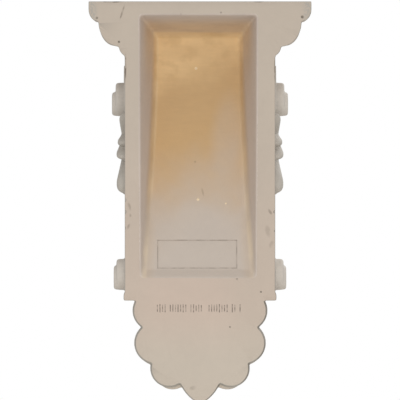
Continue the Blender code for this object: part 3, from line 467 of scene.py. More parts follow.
class CorbelSizes(bpy.types.PropertyGroup):
    """Sizes of the corbel."""

    block_half_width: length(
        "Block half width", "Half the width of the block between its plain edges", 0.067
    )
    block_height: length(
        "Block height", "Height from the foot of the block to the top of the cap", CAD_BOX[1].z
    )
    cap_half_width: length("Cap half width", "Half the width of the cap at its top", CAD_BOX[1].x)
    cap_depth: length("Cap depth", "How far the cap stands out from the wall", -CAD_BOX[0].y)
    pendant_drop: length(
        "Pendant drop", "How far the pendant leaf hangs below the foot", -CAD_BOX[0].z
    )
    fascia_height: length("Fascia height", "Height of the flat band at the top of the cap", 0.0077)
    bead_height: length("Bead height", "Height of the rounded moulding under the flat band", 0.0093)
    bead_inset: length("Bead inset", "How far the rounded moulding draws in at its foot", 0.0048)
    ovolo_step: length("Ovolo step", "Width of the step above the carved moulding", 0.0040)
    ovolo_height: length("Ovolo height", "Height of the carved moulding", 0.0220)
    ovolo_run: length("Ovolo run", "How far the carved moulding draws in from top to foot", 0.0182)
    neck_height: length(
        "Neck height", "Height of the hollow moulding at the foot of the cap", 0.0080
    )
    tongue_pitch: length(
        "Tongue pitch", "Distance from one carved tongue of the cap to the next", 0.0265
    )
    tongue_half_width: length("Tongue half width", "Half the width of a carved tongue", 0.0108)
    tongue_height: length("Tongue height", "How far a tongue stands out of its ground", 0.0026)
    upper_roll_radius: length("Upper roll radius", "Radius of the scroll at its upper roll", 0.040)
    upper_roll_setback: length(
        "Upper roll setback", "How far the upper roll lies behind the front of the cap", 0.025
    )
    upper_roll_drop: length(
        "Upper roll drop", "How far the middle of the upper roll lies below the top", 0.0874
    )
    lower_roll_radius: length("Lower roll radius", "Radius of the scroll at its lower roll", 0.020)
    lower_roll_depth: length(
        "Lower roll depth", "Distance from the wall to the middle of the lower roll", 0.027
    )
    lower_roll_rise: length(
        "Lower roll rise", "Height of the middle of the lower roll above the foot", 0.0226
    )
    band_width: length(
        "Band width", "Width of the raised band along each edge of the front", 0.0085
    )
    band_height: length("Band height", "How far the bands stand out of the front", 0.0024)
    side_recess: length(
        "Side recess", "How deep the sides are sunk behind their plain edge", 0.0036
    )
    foot_fillet_height: length(
        "Foot fillet height", "Height of the plain fillet at the foot of the block", 0.0058
    )
    upper_boss_radius: length("Upper boss radius", "Radius of the boss in the upper volute", 0.0155)
    upper_eye_radius: length(
        "Upper eye radius", "Radius of the smaller step on the upper boss", 0.0110
    )
    lower_boss_radius: length("Lower boss radius", "Radius of the boss in the lower volute", 0.0143)
    lower_eye_radius: length(
        "Lower eye radius", "Radius of the smaller step on the lower boss", 0.0112
    )
    hollow_top_rim: length("Hollow top rim", "Width of the rim above the hollow", 0.0121)
    hollow_foot_rim: length(
        "Hollow foot rim", "Width of the rim between the hollow and the foot", 0.0207
    )
    hollow_side_rim_top: length(
        "Hollow side rim top", "Width of the rim beside the hollow at its top", 0.0149
    )
    hollow_side_rim_foot: length(
        "Hollow side rim foot", "Width of the rim beside the hollow at its foot", 0.0160
    )
    hollow_front_wall: length(
        "Hollow front wall", "Thickness left in front of the hollow at its top", 0.042
    )
    hollow_depth_foot: length("Hollow depth foot", "Depth of the hollow at its foot", 0.007)
    label_width: length("Label width", "Width of the recess for a label", 0.0706)
    label_height: length("Label height", "Height of the recess for a label", 0.0248)
    label_recess: length("Label recess", "Depth of the recess for a label", 0.0007)
    pendant_thickness: length(
        "Pendant thickness", "Thickness of the pendant leaf at its edge", 0.0095
    )
    pendant_crown: length(
        "Pendant crown", "How far the pendant leaf swells in front of its plate", 0.0085
    )
    cell: length("Cell", "Grain of the cast surface, which softens edges and joins", 0.00075)
    most_triangles: IntProperty(
        name="Most triangles", description="How many triangles the cast piece keeps", default=150000
    )

    @property
    def top_overhang(self):
        return self.cap_half_width - self.block_half_width

    @property
    def neck_depth(self):
        return self.cap_depth - self.top_overhang

    @property
    def side_plane(self):
        return self.block_half_width - self.side_recess

    @property
    def front_field(self):
        return self.side_plane - self.band_width

    @property
    def foot_depth(self):
        return self.lower_roll_depth + self.lower_roll_radius + FOOT_FILLET_PROUD

    @property
    def hollow_depth_top(self):
        return self.cap_depth - self.upper_roll_setback - self.hollow_front_wall

    @property
    def upper_centre(self):
        depth = self.cap_depth - self.upper_roll_setback - self.upper_roll_radius
        return (depth, self.block_height - self.upper_roll_drop)

    @property
    def lower_centre(self):
        return (self.lower_roll_depth, self.lower_roll_rise)


class CorbelFinish(bpy.types.PropertyGroup):
    """Colours of the corbel's finish, and of the painted shade and painted highlights in it."""

    primer_top: paint("Primer at the cap", "Stone-beige primer on the cap and the back", "BBAE9F")
    primer_foot: paint("Primer at the foot", "Stone-beige primer below the hollow", "C4B2A3")
    primer_leaf: paint("Primer on the pendant", "Stone-beige primer on the pendant leaf", "C1B5A6")
    primer_side: paint("Primer on the sides", "Greyer primer on the sides' carving", "C8C0B6")
    # Greyer primer that paints shade on faces turning away from the back and on the side leaves'
    # crests.
    primer_shade: paint("Primer on the edges", "Rubbed primer along the back's edges", "ABA59B")
    raw_foam: paint("Raw foam", "Amber skin of urethane foam that the primer left bare", "DAB988")
    dull_foam: paint("Dull foam", "Foam with a duller, browner skin", "C3A173")
    primed_wall: paint("Primer on the hollow's walls", "Primer that hides the foam", "CBBEB3")
    dusted_foam: paint("Dusted foam", "Foam with a thin dusting of primer", "C1B5A9")
    # Painted highlight along the edges of the hollow's floor and on the beads.
    foam_highlight: paint("Foam edge", "Lighter foam along the edges of the hollow's floor", "ECD8B6")
    # Dark marks, and painted shade on faces towards -X, in the pits, by the side dents and in the
    # grooves down the block's edges.
    dirt_and_shade: paint("Dirt", "Dark handling marks", "5A4C3E")
    ink: paint("Ink", "Faded ink of the stamped strokes", "7C7066")


class StageSettings(bpy.types.PropertyGroup):
    """Light and floor."""

    world_fill: FloatProperty(
        name="Fill", description="Strength of the even light from all round", default=0.60
    )
    key_watts: FloatProperty(
        name="Key light", description="Power of the large soft light", default=84.0, unit="POWER"
    )
    front_key_watts: FloatProperty(
        name="Front light",
        description="Power of the soft light before the carving",
        default=60.0,
        unit="POWER",
    )
    floor_drop: length("Floor drop", "How far the floor lies below the pendant's tip", 0.56)
    floor_radius: length("Floor radius", "Radius of the floor", 1.4)
    floor_shade: paint("Floor", "Matt pale floor", "E9E7E3")


def sizes():
    return bpy.context.scene.corbel_sizes


def new_collection(name):
    collection = bpy.data.collections.new(name)
    bpy.context.scene.collection.children.link(collection)
    return collection


def linked_mesh(name, bm, collection):
    mesh = bpy.data.meshes.new(name)
    bm.to_mesh(mesh)
    bm.free()
    obj = bpy.data.objects.new(name, mesh)
    collection.objects.link(obj)
    return obj


def mesh_object(name, bm, collection):
    """A mesh object of the faces, turned outwards."""
    bmesh.ops.recalc_face_normals(bm, faces=bm.faces)
    if bm.calc_volume(signed=True) < 0:
        bmesh.ops.reverse_faces(bm, faces=bm.faces)
    return linked_mesh(name, bm, collection)


def joined(name, objects, collection):
    """One mesh object of the faces of several, which go."""
    bm = bmesh.new()
    for obj in objects:
        bm.from_mesh(obj.data)
        bpy.data.objects.remove(obj, do_unlink=True)
    return linked_mesh(name, bm, collection)


def loft(name, rings, collection):
    """A closed solid through rings of equally many points, with flat ends."""
    bm = bmesh.new()
    loops = [[bm.verts.new(point) for point in ring] for ring in rings]
    count = len(loops[0])
    for lower, upper in zip(loops, loops[1:]):
        for i in range(count):
            j = (i + 1) % count
            bm.faces.new((lower[i], lower[j], upper[j], upper[i]))
    bm.faces.new(list(reversed(loops[0])))
    bm.faces.new(loops[-1])
    return mesh_object(name, bm, collection)


def flat_outline(name, points, thickness, placement, collection):
    """A flat closed outline given thickness on both sides of its plane, as a mesh."""
    curve = bpy.data.curves.new(name, "CURVE")
    curve.dimensions = "2D"
    curve.fill_mode = "BOTH"
    curve.extrude = thickness / 2
    spline = curve.splines.new("POLY")
    spline.points.add(len(points) - 1)
    for spot, (u, v) in zip(spline.points, points):
        spot.co = (u, v, 0.0, 1.0)
    spline.use_cyclic_u = True
    drawn = bpy.data.objects.new(name + "_outline", curve)
    collection.objects.link(drawn)
    drawn.matrix_world = placement
    bpy.context.view_layer.update()
    graph = bpy.context.evaluated_depsgraph_get()
    mesh = bpy.data.meshes.new_from_object(drawn.evaluated_get(graph))
    mesh.transform(drawn.matrix_world)
    bpy.data.objects.remove(drawn, do_unlink=True)
    bm = bmesh.new()
    bm.from_mesh(mesh)
    bpy.data.meshes.remove(mesh)
    bmesh.ops.remove_doubles(bm, verts=bm.verts, dist=1e-5)
    return mesh_object(name, bm, collection)


def on_circle(centre, radius, angle):
    turn = math.radians(angle)
    return (centre[0] + radius * math.cos(turn), centre[1] + radius * math.sin(turn))


def arc(centre, radius, start, end, count):
    """Points on a circle between two angles in degrees, both ends included."""
    return [on_circle(centre, radius, between(start, end, t)) for t in shares(count)]


def left_of(start, end):
    """The unit vector square to the run between two points, to its left."""
    run = (end[0] - start[0], end[1] - start[1])
    length = math.hypot(*run)
    return (-run[1] / length, run[0] / length)


def bowed(start, end, bulge, count):
    """Points on the shallow bow between two points that stands bulge to the left of their line."""
    left = left_of(start, end)
    found = []
    for t in shares(count):
        rise = 4 * bulge * t * (1 - t)
        found.append([between(start[k], end[k], t) + left[k] * rise for k in (0, 1)])
    return found


def sweep(start, start_pull, end, end_pull, count):
    """Points on the smooth curve that leaves start along one pull and reaches end along another."""
    parts = (start, start_pull, end, end_pull)
    found = []
    for t in shares(count):
        weights = (2 * t**3 - 3 * t**2 + 1, t**3 - 2 * t**2 + t, 3 * t**2 - 2 * t**3, t**3 - t**2)
        found.append(weighted(weights, parts))
    return found


def weighted(weights, points):
    return [sum(w * point[k] for w, point in zip(weights, points)) for k in (0, 1)]


def downhill(angle, pull):
    """The clockwise tangent of a circle at an angle in degrees, as long as pull."""
    turn = math.radians(angle)
    return (pull * math.sin(turn), -pull * math.cos(turn))


def front_sweep(count):
    """The scroll's front between its two rolls."""
    s = sizes()
    return sweep(
        on_circle(s.upper_centre, s.upper_roll_radius, SWEEP_LEAVES_AT),
        downhill(SWEEP_LEAVES_AT, SWEEP_PULL_UPPER),
        on_circle(s.lower_centre, s.lower_roll_radius, SWEEP_ARRIVES_AT),
        downhill(SWEEP_ARRIVES_AT, SWEEP_PULL_LOWER),
        count,
    )


def front_line(detail):
    """The scroll's front as (depth, height), from under the cap down to the foot."""
    s = sizes()
    neck_height = s.block_height - cap_height()
    reach = min(0.95, (neck_height - s.upper_centre[1]) / s.upper_roll_radius)
    starts_at = math.degrees(math.asin(reach))
    upper = arc(s.upper_centre, s.upper_roll_radius, starts_at, SWEEP_LEAVES_AT, 5 * detail)
    ends = (SWEEP_ARRIVES_AT, LOWER_ROLL_ENDS_AT)
    lower = arc(s.lower_centre, s.lower_roll_radius, *ends, 4 * detail)
    return upper + front_sweep(7 * detail)[1:-1] + lower


def cap_height():
    s = sizes()
    return s.fascia_height + s.bead_height + OVOLO_DROP + s.ovolo_height + s.neck_height


def ovolo_line(sunk, count):
    """The cap's ovolo as (overhang, height), from its top edge down, sunk below its full form."""
    s = sizes()
    top = s.block_height - s.fascia_height - s.bead_height - OVOLO_DROP
    axis = s.top_overhang - s.bead_inset - s.ovolo_step - s.ovolo_run
    found = []
    for turn in (0.5 * math.pi * t for t in shares(count)):
        reach = (s.ovolo_run - sunk) * math.cos(turn)
        found.append((axis + reach, top - (s.ovolo_height - sunk) * math.sin(turn)))
    return found


def cap_line():
    """The cap moulding as (overhang, height), from the top down, with its carved ovolo sunk."""
    s = sizes()
    bead_top = s.block_height - s.fascia_height
    bead_foot = (s.top_overhang - s.bead_inset, bead_top - s.bead_height)
    bead = bowed(bead_foot, (s.top_overhang, bead_top), -BEAD_BULGE, 10)[::-1]
    ovolo = ovolo_line(CARVED_OVOLO_SUNK, 16)
    foot = s.block_height - cap_height()
    neck_top = (0.99 * ovolo[-1][0], foot + s.neck_height)
    neck = bowed((NECK_OVERHANG, foot), neck_top, -NECK_HOLLOW, 10)[::-1]
    return [(s.top_overhang, s.block_height)] + bead + ovolo + neck


class Rail:
    """A plane line that can be read at any distance along it, with its outward normal."""

    def __init__(self, points):
        self.points = points
        self.stops = [0.0]
        for a, b in zip(points, points[1:]):
            self.stops.append(self.stops[-1] + math.hypot(b[0] - a[0], b[1] - a[1]))
        self.length = self.stops[-1]

    def spot(self, distance):
        distance = min(max(distance, 0.0), self.length)
        k = 1
        while k < len(self.stops) - 1 and self.stops[k] < distance:
            k += 1
        share = (distance - self.stops[k - 1]) / (self.stops[k] - self.stops[k - 1])
        a, b = self.points[k - 1], self.points[k]
        return (a[0] + (b[0] - a[0]) * share, a[1] + (b[1] - a[1]) * share)

    def outward(self, distance):
        distance = min(max(distance, 0.0), self.length)
        return left_of(self.spot(distance - NORMAL_STEP), self.spot(distance + NORMAL_STEP))

    def off(self, distance, height):
        """The point that stands off the line by a height."""
        spot, out = self.spot(distance), self.outward(distance)
        return (spot[0] + out[0] * height, spot[1] + out[1] * height)


def place_on_front(rail):
    """Carving on the scroll's front: across is X, along is the distance down the scroll."""

    def place(across, along, height):
        depth, up = rail.off(along, height)
        return Vector((across, -depth, up))

    return place


def place_on_side(side):
    """Carving on a sunk side of the block: across is the depth, along is the height."""
    s = sizes()

    def place(across, along, height):
        return Vector((side * (s.side_plane + height), -across, along))

    return place


def place_on_pendant(across, along, height):
    s = sizes()
    return Vector((across, -(s.pendant_thickness + height), along))


def place_on_cap_front(rail):
    s = sizes()

    def place(across, along, height):
        overhang, up = rail.off(along, height)
        return Vector((across, -(s.neck_depth + overhang), up))

    return place


def place_on_cap_side(rail, side):
    s = sizes()

    def place(across, along, height):
        overhang, up = rail.off(along, height)
        return Vector((side * (s.block_half_width + overhang), -across, up))

    return place


def place_on_cap_corner(rail, side):
    """Carving over the cap's mitre: across runs square to the diagonal."""
    s = sizes()

    def place(across, along, height):
        overhang, up = rail.off(along, height)
        reach = overhang - CORNER_LEAF_WRAP * abs(across)
        skew = math.sqrt(0.5) * across
        x = side * (s.block_half_width + reach - skew)
        return Vector((x, -(s.neck_depth + reach + skew), up))

    return place


def strip(name, stations, section, place, collection):
    """A closed strip of carving. Each station is (across, along, half width, height)."""
    rings = []
    last = len(stations) - 1
    for i, (a, b, half, height) in enumerate(stations):
        square = left_of(stations[max(i - 1, 0)], stations[min(i + 1, last)])
        levels = [(share, height * rise) for share, rise in section]
        ring = []
        for share, level in levels + [(1.0, -ROOT_DEPTH), (-1.0, -ROOT_DEPTH)]:
            ring.append(place(a + square[0] * share * half, b + square[1] * share * half, level))
        rings.append(ring)
    return loft(name, rings, collection)


def curved(start, control, end, t):
    """The point at a share t of the curve that is drawn towards the control point."""
    return weighted(((1 - t) ** 2, 2 * t * (1 - t), t * t), (start, control, end))


def finger(name, root, tip, bend, half, rise, place, collection, section=LEAF_SECTION, steps=16):
    """A leaf finger that widens from its root and ends round. rise is (at the root, at the tip)."""
    widest, root_width, tip_fall, end, crowding = 0.62, 0.45, 0.45, 0.99, 1.25
    middle = ((root[0] + tip[0]) / 2, (root[1] + tip[1]) / 2)
    control = (middle[0] - (tip[1] - root[1]) * bend, middle[1] + (tip[0] - root[0]) * bend)
    stations = []
    for share in shares(steps):
        t = end * math.sin(0.5 * math.pi * share) ** crowding
        beyond = max((t - widest) / (1 - widest), 0.0)
        width = math.sqrt(1 - beyond**2)
        if t < widest:
            width = between(root_width, 1.0, math.sin(0.5 * math.pi * t / widest))
        height = between(*rise, t) * (1 - tip_fall * beyond**3)
        stations.append((*curved(root, control, tip, t), half * width, height))
    return strip(name, stations, section, place, collection)


def scroll_block(collection):
    """The scrolled block, from inside the cap down to the foot, crossing the wall plane."""
    s = sizes()
    front = front_line(FRONT_DETAIL)
    inside_cap = s.block_height - s.fascia_height
    outline = [(-WALL_OVERRUN, inside_cap), (front[0][0], inside_cap)] + front
    outline += [(s.foot_depth - 4 * LAP, LAP), (-WALL_OVERRUN, LAP)]
    side_on = Matrix(((0, 0, -1, 0), (-1, 0, 0, 0), (0, 1, 0, 0), (0, 0, 0, 1)))
    return flat_outline("scroll_block", outline, 2 * s.side_plane, side_on, collection)


def block(name, size, middle, collection):
    """A plain box."""
    bm = bmesh.new()
    bmesh.ops.create_cube(bm, size=1.0)
    bmesh.ops.scale(bm, vec=size, verts=bm.verts)
    bmesh.ops.translate(bm, vec=middle, verts=bm.verts)
    return mesh_object(name, bm, collection)


def plain_sides(collection):
    """The full-width edge of the block along the wall, behind the sunk sides."""
    s = sizes()
    low, high = 2 * LAP, s.block_height - s.fascia_height - s.bead_height
    size = (2 * s.block_half_width, PLAIN_SIDE_END + WALL_OVERRUN, high - low)
    middle = (0.0, (WALL_OVERRUN - PLAIN_SIDE_END) / 2, (low + high) / 2)
    block("plain_sides", size, middle, collection)


def cap_rings(name, line, depth_at, collection):
    """A solid through rings of four corners, from the wall out to the depth at each overhang."""
    rings = []
    for overhang, height in line:
        half, front = sizes().block_half_width + overhang, -depth_at(overhang)
        corners = ((-half, WALL_OVERRUN), (half, WALL_OVERRUN), (half, front), (-half, front))
        rings.append([Vector((x, y, height)) for x, y in corners])
    loft(name, rings, collection)


def cap(collection):
    """The cap moulding, mitred round three sides, and its plain ends against the wall."""
    s = sizes()
    cap_rings("cap_moulding", cap_line(), lambda overhang: s.neck_depth + overhang, collection)
    full = ovolo_line(0.0, 18)
    above, below = full[0], full[-1]
    full = [(above[0], above[1] + 4 * LAP)] + full + [(below[0] - 2 * LAP, below[1] + 0.4 * LAP)]
    cap_rings("cap_ends", full, lambda overhang: PLAIN_CAP_END, collection)


def foot_fillet(collection):
    """The plain fillet at the foot of the block."""
    s = sizes()
    width = 2 * (s.block_half_width + FOOT_FILLET_OVERHANG)
    size = (width, s.foot_depth + WALL_OVERRUN, s.foot_fillet_height)
    middle = (0.0, (WALL_OVERRUN - s.foot_depth) / 2, s.foot_fillet_height / 2)
    block("foot_fillet", size, middle, collection)


def edge_bands(rail, collection):
    """The raised bands along both edges of the scroll's front."""
    s = sizes()
    place = place_on_front(rail)
    mirrored = tuple((-share, rise) for share, rise in reversed(BAND_SECTION))
    half = s.band_width / 2
    for side in (-1, 1):
        across = side * (s.side_plane + BAND_OVERHANG - half)
        stations = []
        for share in shares(90):
            along = rail.length * between(*BAND_SPAN, share)
            stations.append((across, along, half, s.band_height))
        ordered = BAND_SECTION if side > 0 else mirrored
        strip(f"edge_band_{side}", stations, ordered, place, collection)


def spiral(centre, radii, start, turns, count):
    """Points that wind from the first radius to the second, anticlockwise for positive turns."""
    found = []
    for t in shares(count):
        radius = radii[0] * (radii[1] / radii[0]) ** t
        found.append(on_circle(centre, radius, start + 360 * turns * t))
    return found


def ribbon_path():
    """The side's scroll ribbon: from the upper eye, inside the front line, to the lower eye."""
    s = sizes()
    radii = (s.upper_roll_radius - RIBBON_INSET, RIBBON_ENDS[0] * s.upper_boss_radius)
    upper = spiral(s.upper_centre, radii, SWEEP_LEAVES_AT, RIBBON_TURNS_UPPER, 90)
    radii = (s.lower_roll_radius - RIBBON_INSET, RIBBON_ENDS[1] * s.lower_boss_radius)
    lower = spiral(s.lower_centre, radii, SWEEP_ARRIVES_AT, RIBBON_TURNS_LOWER, 50)
    drawn = Rail(front_sweep(60))
    middle = [drawn.off(drawn.length * share, -RIBBON_INSET) for share in shares(40)[1:-1]]
    return upper[::-1] + middle + lower


def boss(name, side, centre, radius, height, collection):
    """A round boss that stands out of a side, with a rounded outer edge."""
    s = sizes()
    bm = bmesh.new()
    bmesh.ops.create_cone(
        bm,
        cap_ends=True,
        segments=96,
        radius1=radius,
        radius2=BOSS_TAPER * radius,
        depth=height + ROOT_DEPTH,
    )
    turn = Matrix.Rotation(side * math.pi / 2, 4, "Y")
    reach = s.side_plane + (height - ROOT_DEPTH) / 2
    shift = Matrix.Translation((side * reach, -centre[0], centre[1]))
    bmesh.ops.transform(bm, matrix=shift @ turn, verts=bm.verts)
    outer = [e for e in bm.edges if all(abs(v.co.x) > s.side_plane + 0.9 * height for v in e.verts)]
    bmesh.ops.bevel(bm, geom=outer, offset=BOSS_ROUNDING, segments=4, profile=0.6, affect="EDGES")
    return mesh_object(name, bm, collection)


def volutes(collection):
    """The scroll ribbons and the bosses of both sides. A ribbon stands prouder round its upper
    eye."""
    s = sizes()
    path = ribbon_path()
    for side in (-1, 1):
        stations = []
        for depth, up in path:
            above = up - s.upper_centre[1] + RIBBON_RISES_BELOW
            near_top = min(max(above / s.upper_roll_radius, 0.0), 1.0)
            proud = between(RIBBON_HEIGHT, RIBBON_HEIGHT_UPPER, near_top)
            stations.append((depth, up, RIBBON_HALF_WIDTH, s.side_recess + proud))
        strip(f"ribbon_{side}", stations, FLAT_RIBBON, place_on_side(side), collection)
        steps = (
            ("upper_boss", s.upper_centre, 0.0, s.upper_boss_radius, UPPER_BOSS_HEIGHT),
            ("upper_eye", s.upper_centre, UPPER_EYE_OFFSET, s.upper_eye_radius, UPPER_EYE_HEIGHT),
            ("lower_boss", s.lower_centre, 0.0, s.lower_boss_radius, LOWER_BOSS_HEIGHT),
            ("lower_eye", s.lower_centre, LOWER_EYE_OFFSET, s.lower_eye_radius, LOWER_EYE_HEIGHT),
        )
        for name, centre, offset, radius, height in steps:
            middle = (centre[0], centre[1] - offset)
            boss(f"{name}_{side}", side, middle, radius, s.side_recess + height, collection)


def side_leaves(collection):
    """The leaf under each upper volute: fingers that fan back towards the wall and down."""
    s = sizes()
    for side in (-1, 1):
        place = place_on_side(side)
        for i, (setback, start, depth, drop, half, rise, bend) in enumerate(SIDE_LEAF_FINGERS):
            root = (s.upper_centre[0] - setback, s.upper_centre[1] - start)
            tip = (depth, s.upper_centre[1] - drop)
            heights = (s.side_recess + SIDE_LEAF_ROOT_HEIGHT, s.side_recess + rise)
            name = f"side_leaf_{side}_{i}"
            finger(name, root, tip, bend, half, heights, place, collection, ROUNDED)


def lobe(name, root, tip, bend, half, rise, place, collection):
    """A leaf lobe of three fingers: a long one between two shorter ones."""
    run = Vector((tip[0] - root[0], tip[1] - root[1]))
    for i, turn in enumerate((-SIDE_FINGER_TURN, SIDE_FINGER_TURN, 0.0)):
        length, width = (SIDE_FINGER_LENGTH, SIDE_FINGER_WIDTH) if turn else (1.0, 1.0)
        way = Matrix.Rotation(math.radians(turn), 2) @ run * length
        end = (root[0] + way.x, root[1] + way.y)
        finger(f"{name}_{i}", root, end, bend, half * width, rise, place, collection)


def leaf_line(rail, side, offset, start, reach, end):
    """The root, tip and bend of one of a front leaf's pairs, from its shares of the scroll."""
    root = (side * offset, start * rail.length)
    return root, (side * reach * sizes().front_field, end * rail.length), side * LEAF_BEND


def front_leaf(rail, collection):
    """The acanthus leaf that falls over the scroll's front, its lobes in pairs, its tip lifted."""
    place = place_on_front(rail)
    start, end = (share * rail.length for share in LEAF_GROUND_SPAN)
    ground = []
    for share in shares(16):
        half = LEAF_GROUND_HALF_WIDTH * math.sqrt(1 - LEAF_GROUND_TAPER * share**2)
        ground.append((0.0, between(start, end, share), half, LEAF_GROUND_HEIGHT))
    strip("leaf_ground", ground, ROUNDED, place, collection)
    for i, (*shape, half, rise) in enumerate(FRONT_LEAF_PAIRS):
        heights = (FRONT_LEAF_ROOT_HEIGHT, rise)
        for side in (-1, 1):
            root, tip, bend = leaf_line(rail, side, LEAF_ROOT_OFFSET, *shape)
            lobe(f"leaf_{i}_{side}", root, tip, bend, half, heights, place, collection)
    root, tip = ((0.0, share * rail.length) for share in FRONT_LEAF_TIP)
    half, heights = FRONT_LEAF_TIP_HALF_WIDTH, FRONT_LEAF_TIP_HEIGHTS
    lobe("leaf_tip", root, tip, 0.0, half, heights, place, collection)
    start, end = (share * rail.length for share in LEAF_STEM_SPAN)
    ends = ((start, end), LEAF_STEM_HALF_WIDTHS, LEAF_STEM_HEIGHTS)
    stem = [(0.0, *(between(*pair, share) for pair in ends)) for share in shares(24)]
    strip("leaf_stem", stem, ROUNDED, place, collection)


def lower_leaf(rail, collection):
    """The small leaf that lies over the lower roll."""
    place = place_on_front(rail)
    for i, (*shape, half) in enumerate(LOWER_LEAF_PAIRS):
        for side in (-1, 1):
            root, tip, bend = leaf_line(rail, side, LOWER_LEAF_ROOT_OFFSET, *shape)
            name = f"low_leaf_{i}_{side}"
            finger(name, root, tip, bend, half, LOWER_LEAF_HEIGHTS, place, collection)
    root, tip = ((0.0, share * rail.length) for share in LOWER_LEAF_TIP)
    half, heights = LOWER_LEAF_TIP_HALF_WIDTH, LOWER_LEAF_TIP_HEIGHTS
    finger("low_leaf_tip", root, tip, 0.0, half, heights, place, collection)


def meeting(first, second):
    """The outer point where two lobes' circles cross."""
    (ax, ay, ar), (bx, by, br) = first, second
    gap = math.hypot(bx - ax, by - ay)
    along = (ar * ar - br * br + gap * gap) / (2 * gap)
    off = math.sqrt(max(ar * ar - along * along, 0.0))
    ux, uy = (bx - ax) / gap, (by - ay) / gap
    spots = [(ax + ux * along - s * uy * off, ay + uy * along + s * ux * off) for s in (-1, 1)]
    return max(spots, key=lambda p: p[0])


def bearing(lobe_circle, spot):
    return math.degrees(math.atan2(spot[1] - lobe_circle[1], spot[0] - lobe_circle[0]))


def pendant_lobes():
    """Each lobe of one side of the pendant as (distance to the side, height, radius)."""
    s = sizes()
    return [tuple(share * s.pendant_drop for share in lobe_shares) for lobe_shares in PENDANT_LOBES]


def pendant_outline(shrink):
    """Half of the pendant's outline, from the block's foot down to its tip, drawn in by shrink."""
    s = sizes()
    inside_block = s.foot_fillet_height / 2
    first, second, third = ((x, z, radius - shrink) for x, z, radius in pendant_lobes())
    notches = (meeting(first, second), meeting(second, third))
    tip_half = PENDANT_TIP_HALF_WIDTH * s.pendant_drop - shrink
    tip_start, tip = (tip_half, PENDANT_TIP_START * s.pendant_drop), (0.0, shrink - s.pendant_drop)
    rise = math.degrees(math.asin(min(0.9, (inside_block - first[1]) / first[2])))
    half = arc(first[:2], first[2], rise, bearing(first, notches[0]), 22)
    ends = bearing(second, notches[0]), bearing(second, notches[1])
    half += arc(second[:2], second[2], *ends, 26)[1:]
    half += arc(third[:2], third[2], bearing(third, notches[1]), bearing(third, tip_start), 26)[1:]
    return half + bowed(tip_start, tip, PENDANT_TIP_BULGE * s.pendant_drop, 14)[1:]


def pendant(collection):
    """The pendant leaf: a lobed plate that widens from the wall, with a finger over each lobe."""
    s = sizes()
    rings = []
    front = s.pendant_thickness
    edge = PENDANT_EDGE_STARTS * front
    levels = ((-WALL_OVERRUN, PENDANT_FLARE), (edge, 0.0), (front, PENDANT_EDGE_EASED))
    for depth, shrink in levels:
        half = pendant_outline(shrink)
        outline = half + [(-x, z) for x, z in reversed(half[:-1])]
        rings.append([Vector((x, -depth, z)) for x, z in outline])
    loft("pendant_plate", rings, collection)
    crowns = [share * s.pendant_crown for share in PENDANT_FINGER_CROWNS]
    for i, (x, z, radius) in enumerate(pendant_lobes()):
        aim = PENDANT_FINGER_AIM + i * PENDANT_FINGER_SPREAD
        away = Vector((x, z + aim * s.pendant_drop)).normalized()
        away *= PENDANT_FINGER_LENGTH * radius
        width = PENDANT_FINGER_WIDTH * radius
        for side in (-1, 1):
            root = (side * LEAF_ROOT_OFFSET, z + PENDANT_FINGER_ROOT_RISE * s.pendant_drop)
            tip = (side * (x + away.x), z + away.y)
            name, bend = f"pendant_lobe_{i}_{side}", -side * PENDANT_FINGER_BEND
            finger(name, root, tip, bend, width, crowns, place_on_pendant, collection)
    crowns = [share * s.pendant_crown for share in PENDANT_MIDRIB_CROWNS]
    root, tip = ((0.0, share * s.pendant_drop) for share in PENDANT_MIDRIB_SPAN)
    half = PENDANT_MIDRIB_HALF_WIDTH
    finger("pendant_tip", root, tip, 0.0, half, crowns, place_on_pendant, collection)


def hollow_station(share):
    """The hollow at a share of the way up it: its half width and height at the mouth, then its
    depth and the height of its floor."""
    s = sizes()
    rim = between(s.hollow_side_rim_foot, s.hollow_side_rim_top, share)
    height = between(s.hollow_foot_rim, s.block_height - s.hollow_top_rim, share)
    depth = between(s.hollow_depth_foot, s.hollow_depth_top, math.sin(0.5 * math.pi * share))
    return s.block_half_width - rim, height, depth, between(*hollow_floor_ends(), share)


def hollow_floor_ends():
    """The heights of the floor's foot and top edge. The hollow's foot is bevelled at 45 degrees."""
    s = sizes()
    top = s.block_height - s.hollow_top_rim - math.tan(HOLLOW_TOP_DRAFT) * s.hollow_depth_top
    return s.hollow_foot_rim + s.hollow_depth_foot, top


def floor_depth(height):
    """How deep the hollow's floor lies at a height, between its foot and its top edge."""
    foot, top = hollow_floor_ends()
    return hollow_station((height - foot) / (top - foot))[2]


def rounded_corner(start, corner, end, count):
    """Points of a curve that leaves the start and reaches the end along the corner's two sides."""
    return [curved(start, corner, end, t) for t in shares(count)]


def hollow_side(share, depth):
    """One side of the hollow's section as (half width, depth): the drafted wall, then a rounding
    into the floor, which spreads towards the hollow's foot."""
    draft = math.tan(HOLLOW_SIDE_DRAFT)
    t = max(1 - share / HOLLOW_CORNER_SPREADS_BELOW, 0.0)
    spread = t * t * (3 - 2 * t) * (HOLLOW_CORNER_AT_FOOT - HOLLOW_CORNER_ON_FLOOR)
    half, down = hollow_station(share)[0], min(HOLLOW_CORNER_ON_WALL, 0.95 * depth)
    corner = (half - draft * depth, depth)
    start = (corner[0] + draft * down, depth - down)
    end = (corner[0] - HOLLOW_CORNER_ON_FLOOR - spread, depth)
    mouth = (half + draft * MOUTH_CLEARANCE, -MOUTH_CLEARANCE)
    return [mouth, *rounded_corner(start, corner, end, 8)]


